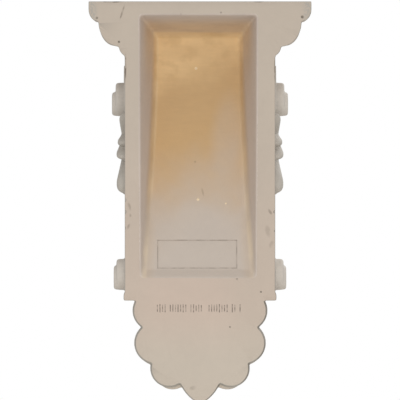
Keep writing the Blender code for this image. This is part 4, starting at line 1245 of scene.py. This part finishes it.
def hollow_cutter(collection):
    """The tapering hollow: drafted sides and top that round into a floor that curves as the
    scroll's front does, and a bevelled foot."""
    s = sizes()
    floor_top, depth_top = hollow_floor_ends()[1], s.hollow_depth_top
    levels = []
    for share in shares(HOLLOW_STEPS)[:-1]:
        height, depth, floor_height = hollow_station(share)[1:]
        if floor_height < floor_top - HOLLOW_CORNER_ON_FLOOR:
            levels.append((share, height, depth, floor_height))
    share, height, depth, floor_height = levels[-1]
    rise = math.tan(HOLLOW_TOP_DRAFT) * HOLLOW_CORNER_ON_TOP
    up = s.block_height - s.hollow_top_rim
    end = (floor_top + rise, depth_top - HOLLOW_CORNER_ON_TOP)
    corner = rounded_corner((floor_height, depth), (floor_top, depth_top), end, 10)
    for t, (high, deep) in list(zip(shares(10), corner))[1:]:
        levels.append((between(share, 1.0, t), between(height, up, t), deep, high))
    rings = []
    for share, height, depth, floor_height in levels:
        section = hollow_side(share, depth)
        ring = []
        for side, points in ((-1, section), (1, section[::-1])):
            for half, deep in points:
                high = height + (floor_height - height) * deep / depth
                ring.append(Vector((HOLLOW_OFFSET + side * half, -deep, high)))
        rings.append(ring)
    ease_mouth(loft("hollow_cutter", rings, collection), collection)


def ease_mouth(cutter, collection):
    """Widens the cutter behind the wall plane and softens it, which rounds the hollow's rim and
    its corners as a mould does."""
    s = sizes()
    foot = s.hollow_foot_rim - MOUTH_CLEARANCE
    top = s.block_height - s.hollow_top_rim + MOUTH_CLEARANCE
    half = s.block_half_width - s.hollow_side_rim_top + MOUTH_CLEARANCE
    size = (2 * half, 2 * MOUTH_CLEARANCE, top - foot)
    middle = (HOLLOW_OFFSET, MOUTH_CLEARANCE + s.cell / 2, (foot + top) / 2)
    slab = block("mouth_slab", size, middle, collection)
    cutter = joined(cutter.name, [cutter, slab], collection)
    soften(cutter, MOUTH_GRAIN * s.cell, MOUTH_CLEARANCE, MOUTH_SMOOTHING, MOUTH_TRIANGLES)


def label_cutter(collection):
    """A shallow plain recess for a label in the hollow's floor, near its foot."""
    s = sizes()
    low = s.hollow_foot_rim + s.hollow_depth_foot + LABEL_CLEAR_OF_FOOT
    slope = math.atan2(floor_depth(low + s.label_height) - floor_depth(low), s.label_height)
    height = low + s.label_height / 2
    depth = floor_depth(height)
    size = (s.label_width, 2 * depth, s.label_height / math.cos(slope))
    cutter = block("label_cutter", size, (0.0, depth - s.label_recess, 0.0), collection)
    turn = Matrix.Rotation(slope, 4, "X")
    shift = Matrix.Translation((HOLLOW_OFFSET + LABEL_OFFSET, -depth, height))
    cutter.data.transform(shift @ turn)


def wall_cutter(collection):
    """All that stands behind the wall plane, so that the back is one flat face."""
    size = Vector(WALL_CUTTER_SIZE)
    block("wall_cutter", size, (0.0, size.y / 2, 0.0), collection)


def node(tree, kind, settings=None, inputs=None):
    """Adds a node with its settings, and sets or links its inputs."""
    made = tree.nodes.new(kind)
    for key, value in (settings or {}).items():
        setattr(made, key, value)
    for key, value in (inputs or {}).items():
        if isinstance(value, bpy.types.NodeSocket):
            tree.links.new(value, made.inputs[key])
        else:
            made.inputs[key].default_value = value
    return made


def math_node(tree, operation, first, second=0.0, third=0.0):
    inputs = {0: first, 1: second, 2: third}
    return node(tree, "ShaderNodeMath", {"operation": operation}, inputs).outputs[0]


def apart(tree, first, second):
    """How far apart two values are."""
    return math_node(tree, "ABSOLUTE", math_node(tree, "SUBTRACT", first, second))


def span(tree, value, low, high, start=0.0, end=1.0):
    """The value's place between low and high, smoothed, as a share from start to end."""
    settings = {"interpolation_type": "SMOOTHSTEP"}
    made = node(tree, "ShaderNodeMapRange", settings, {0: value, 1: low, 2: high, 3: start, 4: end})
    return made.outputs[0]


def mixed(tree, share, first, second, blend="MIX"):
    """Two colours mixed by a share. A plain colour is given as three values."""
    settings = {"data_type": "RGBA", "blend_type": blend}
    colours = [c if isinstance(c, bpy.types.NodeSocket) else (*c, 1.0) for c in (first, second)]
    inputs = {0: share, 6: colours[0], 7: colours[1]}
    return node(tree, "ShaderNodeMix", settings, inputs).outputs[2]


def noise(tree, where, millimetres, detail=2.0):
    """Noise whose patches are about so many millimetres across."""
    inputs = {"Vector": where, "Scale": 1000 / millimetres, "Detail": detail}
    return node(tree, "ShaderNodeTexNoise", None, inputs).outputs[0]


# Soft spots carry dark marks, painted shade and painted highlights alike.
def soft_spot(tree, where, x, z, half_width, half_height, turn, strength, reach):
    """A soft-edged mark as a share from 0 to its strength. reach is how deep it goes."""
    inputs = {
        "Vector": where,
        "Location": (x / 1000, 0.0, z / 1000),
        "Rotation": (0.0, math.radians(turn), 0.0),
        "Scale": (half_width / 1000, reach, half_height / 1000),
    }
    placed = node(tree, "ShaderNodeMapping", {"vector_type": "TEXTURE"}, inputs).outputs[0]
    off = node(tree, "ShaderNodeVectorMath", {"operation": "LENGTH"}, {0: placed}).outputs["Value"]
    return span(tree, off, *SPOT_FADE, 0.0, strength)


def soft_spots(tree, where, places, reach=SPOT_REACH):
    """Several marks as one share."""
    marks = soft_spot(tree, where, *places[0], reach)
    for place in places[1:]:
        marks = math_node(tree, "MAXIMUM", marks, soft_spot(tree, where, *place, reach))
    return marks


def label_outline(tree, x, height):
    """A thin brown line round the edge of the label recess."""
    s = sizes()
    middle = s.hollow_foot_rim + s.hollow_depth_foot + LABEL_CLEAR_OF_FOOT + s.label_height / 2
    beyond = []
    for value, centre, half in (
        (x, HOLLOW_OFFSET + LABEL_OFFSET, s.label_width / 2),
        (height, middle, s.label_height / 2),
    ):
        beyond.append(math_node(tree, "SUBTRACT", apart(tree, value, centre), half))
    nearest = math_node(tree, "ABSOLUTE", math_node(tree, "MAXIMUM", *beyond))
    return span(tree, nearest, LABEL_LINE, 0.3 * LABEL_LINE)


def product(tree, first, *others):
    for other in others:
        first = math_node(tree, "MULTIPLY", first, other)
    return first


def primer_colour(tree, finish, x, height, depth, speckle):
    """Stone-beige primer, a little warmer below the hollow, paler on the pendant, and greyer on
    the sides' carving, with painted shade on the side leaves' crests and on faces that turn away
    from the back, darkest where they face -X, and speckled grey on the cap's ends."""
    s = sizes()
    aside = span(tree, apart(tree, x, WARM_MIDDLE), *WARM_ASIDE)
    warm = product(tree, span(tree, height, *WARM_HEIGHT), aside)
    primer = mixed(tree, warm, finish.primer_top, finish.primer_foot)
    primer = mixed(tree, span(tree, height, *PENDANT_HEIGHT), primer, finish.primer_leaf)

    off_middle = math_node(tree, "ABSOLUTE", x)
    beside = span(tree, off_middle, *(s.side_plane + reach for reach in SIDE_REACH))
    on_sides = product(tree, beside, span(tree, depth, *SIDE_DEPTH), span(tree, height, *SIDE_TOP))
    primer = mixed(tree, on_sides, primer, finish.primer_side)
    # Painted shade: the side leaves' crests, where they stand out past the block's edge, take the
    # greyer shade primer.
    low, high = (s.block_half_width + reach for reach in CREST_REACH)
    crests = product(
        tree,
        span(tree, off_middle, low, high, 0.0, CREST_SHADE),
        span(tree, height, *CREST_FOOT),
        span(tree, height, *CREST_TOP),
        span(tree, depth, *CREST_DEPTH),
    )
    primer = mixed(tree, crests, primer, finish.primer_shade)

    # Painted shade: faces that turn away from the back, and the speckled ends of the cap, take the
    # greyer shade primer, fading with depth; faces towards -X are painted darker still.
    normal = node(tree, "ShaderNodeNewGeometry").outputs["Normal"]
    faces = node(tree, "ShaderNodeSeparateXYZ", None, {0: normal}).outputs
    at_ends = product(tree, span(tree, off_middle, *END_SPECKLE_REACH), speckle)
    at_ends = product(tree, at_ends, span(tree, height, *END_SPECKLE_HEIGHT))
    turned = math_node(tree, "MAXIMUM", span(tree, faces["Y"], *SHADE_TURN_AWAY), at_ends)
    reach = math_node(tree, "DIVIDE", depth, span(tree, height, *SHADE_DEPTH))
    turned = product(tree, turned, span(tree, reach, *SHADE_FADE))
    edge = mixed(tree, span(tree, faces["X"], *DARK_TURN), finish.primer_shade, finish.dirt_and_shade)
    return mixed(tree, turned, primer, edge)


def foam_colour(tree, finish, where, x, height, depth, patches):
    """The hollow's skin: primer that thins out over amber foam towards its top and its depth, with
    a painted highlight along the floor's edges and on the beads.
    """
    drift = math_node(tree, "MULTIPLY_ADD", patches, *FOAM_DRIFT)
    drift = math_node(tree, "MULTIPLY_ADD", x, FOAM_TILT, drift)
    drifted = math_node(tree, "ADD", height, drift)
    inward = inside_floor_edge(tree, x, height)
    high_up = span(tree, height, *WALL_FOAM_HEIGHT)
    on_walls = product(tree, high_up, span(tree, depth, *WALL_FOAM_DEPTH))
    on_floor = span(tree, inward, *FLOOR_INSIDE)
    anywhere = math_node(tree, "MAXIMUM", on_walls, on_floor)
    bare = product(tree, span(tree, drifted, *FOAM_HEIGHT), anywhere)
    at_edge = product(
        tree,
        span(tree, inward, *EDGE_FOAM_STARTS),
        span(tree, inward, *EDGE_FOAM_ENDS),
        span(tree, height, *EDGE_FOAM_HEIGHT),
    )
    bare = math_node(tree, "MAXIMUM", bare, at_edge)

    bright = span(tree, drifted, *BRIGHT_FOAM_HEIGHT)
    foam = mixed(tree, bright, finish.dull_foam, finish.raw_foam)
    brown = soft_spots(tree, where, BROWN_PATCHES, FLOOR_SPOT_REACH)
    brown = product(tree, brown, span(tree, patches, *BROWN_BREAKS))
    blotches = span(tree, noise(tree, where, BLOTCH_SIZE, 3.0), *BLOTCH_BREAKS)
    for share in (brown, blotches):
        foam = mixed(tree, share, foam, finish.dull_foam)
    foam = mixed(tree, bare, mixed(tree, on_floor, finish.primed_wall, finish.dusted_foam), foam)
    for places, colour in ((PALE_PATCHES, finish.dusted_foam), (FLOOR_MARKS, finish.dirt_and_shade)):
        foam = mixed(tree, soft_spots(tree, where, places, FLOOR_SPOT_REACH), foam, colour)

    # Painted highlight: a lighter band along the floor's edges, broken up by the patches, and a
    # light spot on each bead.
    lit = product(
        tree,
        span(tree, inward, *EDGE_LIGHT_STARTS),
        span(tree, inward, *EDGE_LIGHT_ENDS),
        span(tree, patches, *EDGE_LIGHT_BREAKS),
    )
    bead_highlights = []
    for x_mm, z_mm, radius in NUBS:
        half = BEAD_HIGHLIGHT_SIZE * radius
        bead_highlights.append((x_mm, z_mm, half, half, 0.0, BEAD_HIGHLIGHT_STRENGTH))
    for share in (lit, soft_spots(tree, where, bead_highlights, FLOOR_SPOT_REACH)):
        foam = mixed(tree, share, foam, finish.foam_highlight)
    return foam


def primed_foam(finish):
    """Matt stone-beige primer sprayed on moulded urethane foam. The primer gives the eye a dull,
    chalky face with faint patches, and it thins out in the hollow, where the amber skin of the
    foam shows with a slight sheen. Its colour also carries painted shade and painted highlights."""
    material = bpy.data.materials.new(FINISH)
    material.use_nodes = True
    tree = material.node_tree
    shader = tree.nodes["Principled BSDF"]
    where = node(tree, "ShaderNodeTexCoord").outputs["Object"]
    split = node(tree, "ShaderNodeSeparateXYZ", None, {0: where})
    x, height = split.outputs["X"], split.outputs["Z"]
    depth = math_node(tree, "MULTIPLY", split.outputs["Y"], -1.0)
    patches, mottle = noise(tree, where, PATCH_SIZE, 3.0), noise(tree, where, MOTTLE_SIZE, 3.0)

    in_hollow = node(tree, "ShaderNodeAttribute", {"attribute_name": "hollow"}).outputs["Fac"]
    foam = foam_colour(tree, finish, where, x, height, depth, patches)
    speckle = span(tree, noise(tree, where, SPECKLE_SIZE), *SPECKLE_BREAKS)
    primer = primer_colour(tree, finish, x, height, depth, speckle)
    colour = mixed(tree, in_hollow, primer, foam)
    stretched = node(tree, "ShaderNodeMapping", None, {"Vector": where, "Scale": RIPPLE_STRETCH})
    ripples = noise(tree, stretched.outputs[0], RIPPLE_SIZE, 1.0)
    ripples = product(tree, ripples, in_hollow, span(tree, height, *RIPPLE_HEIGHT))
    shades = ((patches, PATCH_SHADE), (mottle, MOTTLE_SHADE), (ripples, RIPPLE_SHADE))
    for pattern, shade in shades:
        darker = grey(tree, math_node(tree, "MULTIPLY_ADD", pattern, *shade))
        colour = mixed(tree, 1.0, colour, darker, "MULTIPLY")
    # Dark marks on the back, partly painted shade, with the thin line round the label recess.
    marks = product(tree, soft_spots(tree, where, BACK_MARKS_AND_SHADE), span(tree, mottle, *MARK_BREAKS))
    outlined = product(tree, label_outline(tree, x, height), in_hollow)
    outlined = product(tree, outlined, span(tree, mottle, *OUTLINE_BREAKS))
    colour = mixed(tree, math_node(tree, "MAXIMUM", marks, outlined), colour, finish.dirt_and_shade)
    strokes = stamped_strokes(tree, where, x, height, depth)
    colour = mixed(tree, strokes, colour, finish.ink)
    tree.links.new(colour, shader.inputs["Base Color"])

    dull = math_node(tree, "MULTIPLY_ADD", mottle, *ROUGHNESS)
    tree.links.new(dull, shader.inputs["Roughness"])
    shader.inputs["IOR"].default_value = PRIMER_IOR
    grain = noise(tree, where, GRAIN_SIZE)
    relief = math_node(tree, "MULTIPLY_ADD", mottle, MOTTLE_RELIEF, grain)
    relief = math_node(tree, "SUBTRACT", relief, strokes)
    bump = node(tree, "ShaderNodeBump", None, {**BUMP, "Height": relief})
    tree.links.new(bump.outputs[0], shader.inputs["Normal"])
    return material


def inside_floor_edge(tree, x, height):
    """How far a point lies inside the edge of the hollow's floor, seen square to the back."""
    s = sizes()
    foot, top = hollow_floor_ends()
    steady = node(tree, "ShaderNodeMapRange", None, {0: height, 1: foot, 2: top, 3: 0.0, 4: 1.0})
    share = steady.outputs[0]
    deepens = math_node(tree, "SINE", math_node(tree, "MULTIPLY", share, 0.5 * math.pi))
    draft = math.tan(HOLLOW_SIDE_DRAFT)
    run = draft * (s.hollow_depth_top - s.hollow_depth_foot)
    narrows = math_node(tree, "MULTIPLY", deepens, run)
    widens = math_node(tree, "MULTIPLY", share, s.hollow_side_rim_foot - s.hollow_side_rim_top)
    half = math_node(tree, "SUBTRACT", widens, narrows)
    least = s.block_half_width - s.hollow_side_rim_foot - draft * s.hollow_depth_foot
    half = math_node(tree, "ADD", half, least)
    inside_walls = math_node(tree, "SUBTRACT", half, apart(tree, x, HOLLOW_OFFSET))
    return math_node(tree, "MINIMUM", inside_walls, math_node(tree, "SUBTRACT", top, height))


def grey(tree, value):
    return node(tree, "ShaderNodeCombineColor", None, {0: value, 1: value, 2: value}).outputs[0]


def stamped_strokes(tree, where, x, height, depth):
    """Short plain upright strokes in one row on the back below the foot, in faded ink."""
    phase = math_node(tree, "MULTIPLY", x, 1000 / STROKE_PITCH)
    cell = math_node(tree, "FLOOR", phase)
    off_centre = apart(tree, math_node(tree, "SUBTRACT", phase, cell), 0.5)
    upright = math_node(tree, "LESS_THAN", off_centre, STROKE_HALF_WIDTH)
    unlike = node(tree, "ShaderNodeTexWhiteNoise", {"noise_dimensions": "1D"}, {"W": cell})
    unlike = unlike.outputs["Value"]
    low, high = STROKE_HALF_HEIGHTS
    tall = math_node(tree, "MULTIPLY_ADD", unlike, high - low, low)
    in_row = math_node(tree, "LESS_THAN", apart(tree, height, STROKE_ROW), tall)
    in_reach = math_node(tree, "LESS_THAN", math_node(tree, "ABSOLUTE", x), STROKE_REACH)
    gaps = math_node(tree, "GREATER_THAN", unlike, STROKES_LEFT_OUT)
    on_back = math_node(tree, "LESS_THAN", depth, 2 * LAP)
    worn = span(tree, noise(tree, where, WEAR_SIZE), *STROKE_BREAKS)
    return product(tree, upright, in_row, in_reach, gaps, on_back, worn)


def plain_mesh(obj):
    """The object as its modifiers leave it, as a new mesh, with the modifiers removed."""
    bpy.context.view_layer.update()
    graph = bpy.context.evaluated_depsgraph_get()
    mesh = bpy.data.meshes.new_from_object(obj.evaluated_get(graph))
    obj.modifiers.clear()
    obj.data = mesh
    return mesh


def carved_row_tree():
    """A node tree that sets a unit of carving out in a row, with a steady step between units."""
    tree = bpy.data.node_groups.new("carved_row", "GeometryNodeTree")
    kinds = {"Geometry": "Geometry", "Count": "Int", "Step": "Vector", "Material": "Material"}
    sockets = {}
    for name, kind in kinds.items():
        sockets[name] = tree.interface.new_socket(
            name, in_out="INPUT", socket_type="NodeSocket" + kind
        )
    tree.interface.new_socket("Geometry", in_out="OUTPUT", socket_type="NodeSocketGeometry")
    given = node(tree, "NodeGroupInput").outputs
    inputs = {"Count": given["Count"], "Offset": given["Step"]}
    line = node(tree, "GeometryNodeMeshLine", None, inputs).outputs[0]
    inputs = {"Points": line, "Instance": given["Geometry"]}
    spread = node(tree, "GeometryNodeInstanceOnPoints", None, inputs).outputs[0]
    whole = node(tree, "GeometryNodeRealizeInstances", None, {"Geometry": spread}).outputs[0]
    inputs = {"Geometry": whole, "Material": given["Material"]}
    painted = node(tree, "GeometryNodeSetMaterial", None, inputs).outputs[0]
    node(tree, "NodeGroupOutput", None, {"Geometry": painted})
    return tree, {name: socket.identifier for name, socket in sockets.items()}


def cap_unit(name, across, rail, place, collection):
    """One unit of the cap's carving: a leaf tongue, and the dart beside it."""
    beside = across + sizes().tongue_pitch / 2
    top, end = TONGUE_CLEAR_OF_EDGES[0], rail.length - TONGUE_CLEAR_OF_EDGES[1]
    heights = (DART_HEIGHT, DART_HEIGHT)
    root, tip = (beside, top), (beside, DART_LENGTH * end)
    dart = finger(name + "_dart", root, tip, 0.0, DART_HALF_WIDTH, heights, place, collection)
    beside_dart = tongue(name + "_tongue", across, rail, place, collection)
    return joined(name, [beside_dart, dart], collection)


def tongue(name, across, rail, place, collection):
    """A leaf tongue down the cap's ovolo."""
    s = sizes()
    top, end = TONGUE_CLEAR_OF_EDGES[0], rail.length - TONGUE_CLEAR_OF_EDGES[1]
    heights, half = (s.tongue_height, s.tongue_height), s.tongue_half_width
    return finger(name, (across, top), (across, end), 0.0, half, heights, place, collection)


def cap_rows(material, collection):
    """The carved units over the cap's ovolo: a row along its front and one along each side."""
    s = sizes()
    rail = Rail(ovolo_line(CARVED_OVOLO_SUNK, 40))
    tree, sockets = carved_row_tree()
    mid_overhang = rail.spot(rail.length / 2)[0]
    front_room = s.block_half_width + mid_overhang - s.tongue_pitch / 2
    beside_middle = int((front_room - s.tongue_half_width) / s.tongue_pitch)
    side_room = s.neck_depth + mid_overhang - s.tongue_pitch / 2 - s.tongue_half_width
    along_side = int((side_room - TONGUE_CLEAR_OF_WALL) / s.tongue_pitch) + 1
    first = -beside_middle * s.tongue_pitch
    step = (s.tongue_pitch, 0.0, 0.0)
    rows = [("front_row", first, place_on_cap_front(rail), 2 * beside_middle + 1, step)]
    step = (0.0, -s.tongue_pitch, 0.0)
    for side, word in ((-1, "right"), (1, "left")):
        place = place_on_cap_side(rail, side)
        rows.append((f"{word}_row", TONGUE_CLEAR_OF_WALL, place, along_side, step))
    for name, across, place, count, step in rows:
        row = cap_unit(name, across, rail, place, collection)
        repeat = row.modifiers.new("row", "NODES")
        repeat.node_group = tree
        repeat[sockets["Count"]] = count
        repeat[sockets["Step"]] = step
        repeat[sockets["Material"]] = material
        plain_mesh(row)
    for side in (-1, 1):
        tongue(f"corner_tongue_{side}", 0.0, rail, place_on_cap_corner(rail, side), collection)


def soften(obj, grain, reach, smoothing, most):
    """Joined forms as one cast skin with soft edges, softer still within the reach of the wall
    plane, and with no more than the most triangles."""
    skin = obj.modifiers.new("skin", "REMESH")
    skin.mode = "VOXEL"
    skin.voxel_size = grain
    plain_mesh(obj)
    near_wall = obj.vertex_groups.new(name="near_wall")
    near_wall.add([v.index for v in obj.data.vertices if v.co.y > -reach], 1.0, "REPLACE")
    for steps, group in zip(smoothing, ("", near_wall.name)):
        smooth = obj.modifiers.new("smooth", "SMOOTH")
        smooth.factor, smooth.iterations, smooth.vertex_group = 0.5, steps, group
    plain_mesh(obj)
    count = sum(len(face.vertices) - 2 for face in obj.data.polygons)
    if count > most:
        fewer = obj.modifiers.new("fewer", "DECIMATE")
        fewer.ratio = most / count
        plain_mesh(obj)


def rounded_marks(name, places, collection):
    """Small balls on the back plane or the hollow's floor, joined in one mesh."""
    bm = bmesh.new()
    for centre, radius in places:
        made = bmesh.ops.create_icosphere(bm, subdivisions=2, radius=radius)
        bmesh.ops.translate(bm, vec=centre, verts=made["verts"])
    return mesh_object(name, bm, collection)


def boolean(obj, name, operation, other):
    step = obj.modifiers.new(name, "BOOLEAN")
    step.operation = operation
    step.object = other
    step.solver = "MANIFOLD"


def cut_back(obj):
    """The flat back with its hollow, its label recess, and its pits and beads."""
    cutters = new_collection(CUTTERS)
    hollow_cutter(cutters)
    label_cutter(cutters)
    wall_cutter(cutters)
    spots = [((x / 1000, high / 1000, z / 1000), r / 1000) for x, z, r, high in PITS]
    rounded_marks("pits", spots, cutters)
    for cutter in cutters.objects:
        boolean(obj, cutter.name, "DIFFERENCE", cutter)
    spots = []
    for x, z, r in NUBS:
        depth = floor_depth(z / 1000) + NUB_SUNK * r / 1000
        spots.append(((x / 1000, -depth, z / 1000), r / 1000))
    nubs = rounded_marks("nubs", spots, cutters)
    boolean(obj, "nubs", "UNION", nubs)
    plain_mesh(obj)
    for cutter in list(cutters.objects):
        bpy.data.objects.remove(cutter, do_unlink=True)
    bpy.data.collections.remove(cutters)


def largest_island(mesh):
    """Deletes all but the largest joined group of faces."""
    bm = bmesh.new()
    bm.from_mesh(mesh)
    waiting, groups = set(bm.faces), []
    while waiting:
        group, front = [], [waiting.pop()]
        while front:
            face = front.pop()
            group.append(face)
            for edge in face.edges:
                for beside in edge.link_faces:
                    if beside in waiting:
                        waiting.remove(beside)
                        front.append(beside)
        groups.append(group)
    for group in sorted(groups, key=len)[:-1]:
        bmesh.ops.delete(bm, geom=group, context="FACES")
    bmesh.ops.dissolve_degenerate(bm, dist=1e-7, edges=bm.edges)
    bmesh.ops.triangulate(bm, faces=bm.faces)
    bm.to_mesh(mesh)
    bm.free()


def mark_hollow(mesh):
    """Marks the faces inside the hollow, where the primer thins out over the foam."""
    s = sizes()
    low, high = s.hollow_foot_rim - MARK_REACH, s.block_height - s.hollow_top_rim + MARK_REACH
    half = s.block_half_width - s.hollow_side_rim_top + MARK_REACH
    marked = mesh.attributes.new("hollow", "FLOAT", "FACE")
    for face, value in zip(mesh.polygons, marked.data):
        x, y, z = face.center
        inside = low < z < high and abs(x - HOLLOW_OFFSET) < half
        value.value = float(inside and -floor_depth(z) - 2 * LAP < y < -MARK_OFF_WALL)


class CORBEL_OT_cap(bpy.types.Operator):
    """Makes the cap moulding with its rows of carved tongues"""

    bl_idname = "corbel.cap"
    bl_label = "Make the Cap"

    def execute(self, context):
        forms = new_collection(FORMS)
        cap(forms)
        cap_rows(primed_foam(context.scene.corbel_finish), forms)
        return {"FINISHED"}


class CORBEL_OT_block(bpy.types.Operator):
    """Makes the scrolled block with its bands, volutes and foot fillet"""

    bl_idname = "corbel.block"
    bl_label = "Make the Block"

    def execute(self, context):
        forms = bpy.data.collections[FORMS]
        scroll_block(forms)
        plain_sides(forms)
        foot_fillet(forms)
        edge_bands(Rail(front_line(FRONT_DETAIL)), forms)
        volutes(forms)
        return {"FINISHED"}


class CORBEL_OT_leaves(bpy.types.Operator):
    """Carves the leaves of the front, the sides and the pendant"""

    bl_idname = "corbel.leaves"
    bl_label = "Carve the Leaves"

    def execute(self, context):
        forms = bpy.data.collections[FORMS]
        rail = Rail(front_line(FRONT_DETAIL))
        front_leaf(rail, forms)
        lower_leaf(rail, forms)
        side_leaves(forms)
        pendant(forms)
        return {"FINISHED"}


class CORBEL_OT_cast(bpy.types.Operator):
    """Casts the forms as one piece, cuts its back and gives it its finish"""

    bl_idname = "corbel.cast"
    bl_label = "Cast in One"

    def execute(self, context):
        forms = bpy.data.collections[FORMS]
        corbel = joined("moulded_corbel", list(forms.objects), context.scene.collection)
        bpy.data.collections.remove(forms)
        corbel.data.materials.clear()
        s = sizes()
        soften(corbel, s.cell, EASED_DEPTH, SKIN_SMOOTHING, s.most_triangles)
        cut_back(corbel)
        largest_island(corbel.data)
        mark_hollow(corbel.data)
        corbel.data.materials.clear()
        corbel.data.materials.append(bpy.data.materials[FINISH])
        corbel.data.polygons.foreach_set("use_smooth", [True] * len(corbel.data.polygons))
        corbel.data.set_sharp_from_angle(angle=SHARP_ANGLE)
        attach(corbel, "root")
        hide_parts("corbel")
        return {"FINISHED"}


class CORBEL_OT_stage(bpy.types.Operator):
    """Sets up the plain floor, the soft studio light and the camera behind the corbel"""

    bl_idname = "corbel.stage"
    bl_label = "Set Up the Stage"

    def execute(self, context):
        scene = context.scene
        settings = scene.corbel_stage
        bm = bmesh.new()
        bmesh.ops.create_circle(bm, cap_ends=True, segments=96, radius=settings.floor_radius)
        low = CAD_BOX[0].z - settings.floor_drop
        bmesh.ops.translate(bm, vec=(0.0, 0.0, low), verts=bm.verts)
        floor = mesh_object("floor", bm, scene.collection)
        floor.data.materials.append(matt_floor(settings))

        world = bpy.data.worlds.new("studio")
        scene.world = world
        world.use_nodes = True
        tree = world.node_tree
        seen = node(tree, "ShaderNodeLightPath").outputs["Is Camera Ray"]
        strength = span(tree, seen, 0.0, 1.0, settings.world_fill, 1.0)
        background = tree.nodes["Background"]
        background.inputs["Color"].default_value = (1.0, 1.0, 1.0, 1.0)
        tree.links.new(strength, background.inputs["Strength"])
        soft_light("key", KEY_PLACE, KEY_SIZE, settings.key_watts)
        soft_light("front_key", FRONT_KEY_PLACE, KEY_SIZE, settings.front_key_watts)

        lens = bpy.data.cameras.new("camera")
        lens.lens, lens.sensor_width = CAMERA_LENS, CAMERA_SENSOR
        lens.clip_end = CAMERA_SEES_TO
        camera = bpy.data.objects.new("camera", lens)
        scene.collection.objects.link(camera)
        aim(camera, CAMERA_PLACE)
        scene.camera = camera
        scene.view_settings.view_transform = "Standard"
        return {"FINISHED"}


def aim(obj, place):
    """Sets a camera or light at a place, turned to the middle of the corbel."""
    obj.location = place
    obj.rotation_euler = (Vector(AIM) - Vector(place)).to_track_quat("-Z", "Y").to_euler()


def soft_light(name, place, size, watts):
    light = bpy.data.lights.new(name, "AREA")
    light.shape, light.size, light.energy = "DISK", size, watts
    lamp = bpy.data.objects.new(name, light)
    bpy.context.scene.collection.objects.link(lamp)
    aim(lamp, place)


def matt_floor(settings):
    """Matt painted board: a pale, even face with no sheen."""
    material = bpy.data.materials.new("matt_painted_board")
    material.use_nodes = True
    tree = material.node_tree
    shader = tree.nodes["Principled BSDF"]
    where = node(tree, "ShaderNodeTexCoord").outputs["Object"]
    shade = math_node(tree, "MULTIPLY_ADD", noise(tree, where, FLOOR_NOISE_SIZE), *FLOOR_SHADE)
    colour = mixed(tree, 1.0, settings.floor_shade, grey(tree, shade), "MULTIPLY")
    tree.links.new(colour, shader.inputs["Base Color"])
    shader.inputs["Roughness"].default_value = FLOOR_ROUGHNESS
    return material


class CORBEL_PT_panel(bpy.types.Panel):
    """Lists the corbel's steps, sizes and colours"""

    bl_idname = "CORBEL_PT_panel"
    bl_label = "Moulded Corbel"
    bl_space_type = "VIEW_3D"
    bl_region_type = "UI"
    bl_category = "Corbel"

    def draw(self, context):
        for step in STEPS:
            self.layout.operator(step.bl_idname)
        scene = context.scene
        for group in (scene.corbel_sizes, scene.corbel_finish, scene.corbel_stage):
            box = self.layout.box()
            for name in group.__annotations__:
                box.prop(group, name)


STEPS = (CORBEL_OT_cap, CORBEL_OT_block, CORBEL_OT_leaves, CORBEL_OT_cast, CORBEL_OT_stage)
CLASSES = (CorbelSizes, CorbelFinish, StageSettings, *STEPS, CORBEL_PT_panel)


def register():
    for each in CLASSES:
        bpy.utils.register_class(each)
    bpy.types.Scene.corbel_sizes = PointerProperty(type=CorbelSizes)
    bpy.types.Scene.corbel_finish = PointerProperty(type=CorbelFinish)
    bpy.types.Scene.corbel_stage = PointerProperty(type=StageSettings)


def unregister():
    del bpy.types.Scene.corbel_stage
    del bpy.types.Scene.corbel_finish
    del bpy.types.Scene.corbel_sizes
    for each in reversed(CLASSES):
        bpy.utils.unregister_class(each)


def main():
    register()
    bpy.ops.corbel.cap()
    bpy.ops.corbel.block()
    bpy.ops.corbel.leaves()
    bpy.ops.corbel.cast()
    bpy.ops.corbel.stage()


if __name__ == "__main__":
    main()
